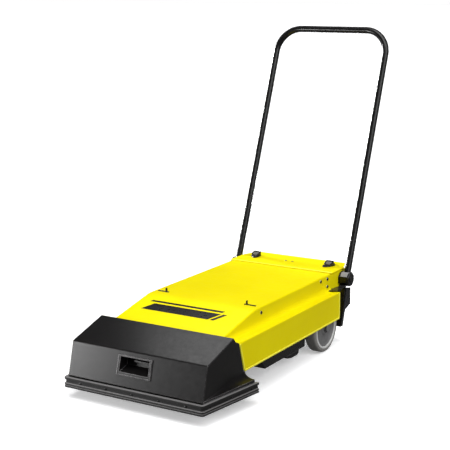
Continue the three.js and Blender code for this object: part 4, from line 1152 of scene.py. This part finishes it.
def build_stage():
    """A white floor that the camera sees brighter than the light it sends back to the object."""
    half = 60.0
    mesh = bpy.data.meshes.new("floor")
    corners = [(-half, -half, 0), (half, -half, 0), (half, half, 0), (-half, half, 0)]
    mesh.from_pydata(corners, [], [(0, 1, 2, 3)])
    floor = bpy.data.objects.new("floor", mesh)
    bpy.context.scene.collection.objects.link(floor)
    material = bpy.data.materials.new("pale_floor")
    material.use_nodes = True
    nodes, links = material.node_tree.nodes, material.node_tree.links
    shader = nodes["Principled BSDF"]
    shader.inputs["Roughness"].default_value = 0.9
    shader.inputs["Specular IOR Level"].default_value = 0.0
    shader.inputs["Emission Color"].default_value = (1.0, 1.0, 1.0, 1.0)
    glow = nodes.new("ShaderNodeMapRange")
    for socket, strength in (("To Min", GLOW_BOUNCE), ("To Max", GLOW_SEEN)):
        glow.inputs[socket].default_value = strength
    links.new(camera_ray(nodes), glow.inputs["Value"])
    links.new(glow.outputs["Result"], shader.inputs["Emission Strength"])
    mix = nodes.new("ShaderNodeMix")
    mix.data_type = "RGBA"
    links.new(camera_ray(nodes), mix.inputs["Factor"])
    sockets = {socket.name: socket for socket in mix.inputs if socket.type == "RGBA"}
    sockets["A"].default_value = FLOOR_BOUNCE
    sockets["B"].default_value = FLOOR_SEEN
    links.new(next(socket for socket in mix.outputs if socket.type == "RGBA"), shader.inputs["Base Color"])
    mesh.materials.append(material)


def area_light(name, place, target, size, power, spread=180):
    data = bpy.data.lights.new(name, "AREA")
    data.shape = "RECTANGLE"
    data.size, data.size_y = size
    data.energy = power
    data.spread = math.radians(spread)
    light = bpy.data.objects.new(name, data)
    light.location = place
    light.rotation_euler = (Vector(target) - Vector(place)).to_track_quat("-Z", "Y").to_euler()
    light.visible_camera = False
    bpy.context.scene.collection.objects.link(light)


def build_world():
    """White behind the floor's far edge, and a dim even light everywhere else."""
    world = bpy.data.worlds.new("studio")
    bpy.context.scene.world = world
    world.use_nodes = True
    nodes, links = world.node_tree.nodes, world.node_tree.links
    dim = nodes["Background"]
    dim.inputs["Color"].default_value = (0.95, 0.97, 1.0, 1.0)
    dim.inputs["Strength"].default_value = WORLD_LIGHT
    white = nodes.new("ShaderNodeBackground")
    white.inputs["Color"].default_value = (1.0, 1.0, 1.0, 1.0)
    white.inputs["Strength"].default_value = 1.0
    mix = nodes.new("ShaderNodeMixShader")
    links.new(camera_ray(nodes), mix.inputs["Fac"])
    links.new(dim.outputs["Background"], mix.inputs[1])
    links.new(white.outputs["Background"], mix.inputs[2])
    links.new(mix.outputs["Shader"], nodes["World Output"].inputs["Surface"])


def soft_sun(name, towards, spread, strength):
    """An even soft light from far off, from the direction of a point, spread in degrees."""
    data = bpy.data.lights.new(name, "SUN")
    data.angle = math.radians(spread)
    data.energy = strength
    light = bpy.data.objects.new(name, data)
    light.rotation_euler = Vector(towards).to_track_quat("Z", "Y").to_euler()
    bpy.context.scene.collection.objects.link(light)


def build_light():
    build_world()
    soft_sun("overhead", (0.10, -0.36, 1.0), 45, 1.93)
    soft_sun("side_fill", (0.80, -0.30, 0.60), 50, 1.64)
    area_light("face_card", (-1.52, -1.78, 0.30), (-0.1, -0.6, 0.12), (0.6, 0.7), 36.0)
    area_light("hood_card", (-0.21, -0.05, 0.90), (0.24, -0.52, 0.17), (0.50, 0.45), 0.34, 70)
    area_light("tube_strip", (-2.6, 0.9, 1.2), (0.0, 0.5, 0.74), (0.5, 2.0), 13, 22)
    area_light("rear_card", (-0.95, 1.85, 0.12), (0.0, 0.345, 0.13), (0.9, 0.18), 4.5, 60)
    scene = bpy.context.scene
    scene.view_settings.view_transform = "Standard"
    scene.view_settings.look = "None"


# ---------------------------------------------------------------- assembly
make_camera()
build_stage()
build_light()
dress_cad_nodes()
build_cover()
build_hems()
build_lid()
build_cover_screws()
build_stripes()
build_hood()
build_grip()
build_bumper()
build_brush()
build_wheels()
build_handle()
build_knuckles()
build_knobs()
build_lid_latches()
build_turn_latches()
build_panel_trim()
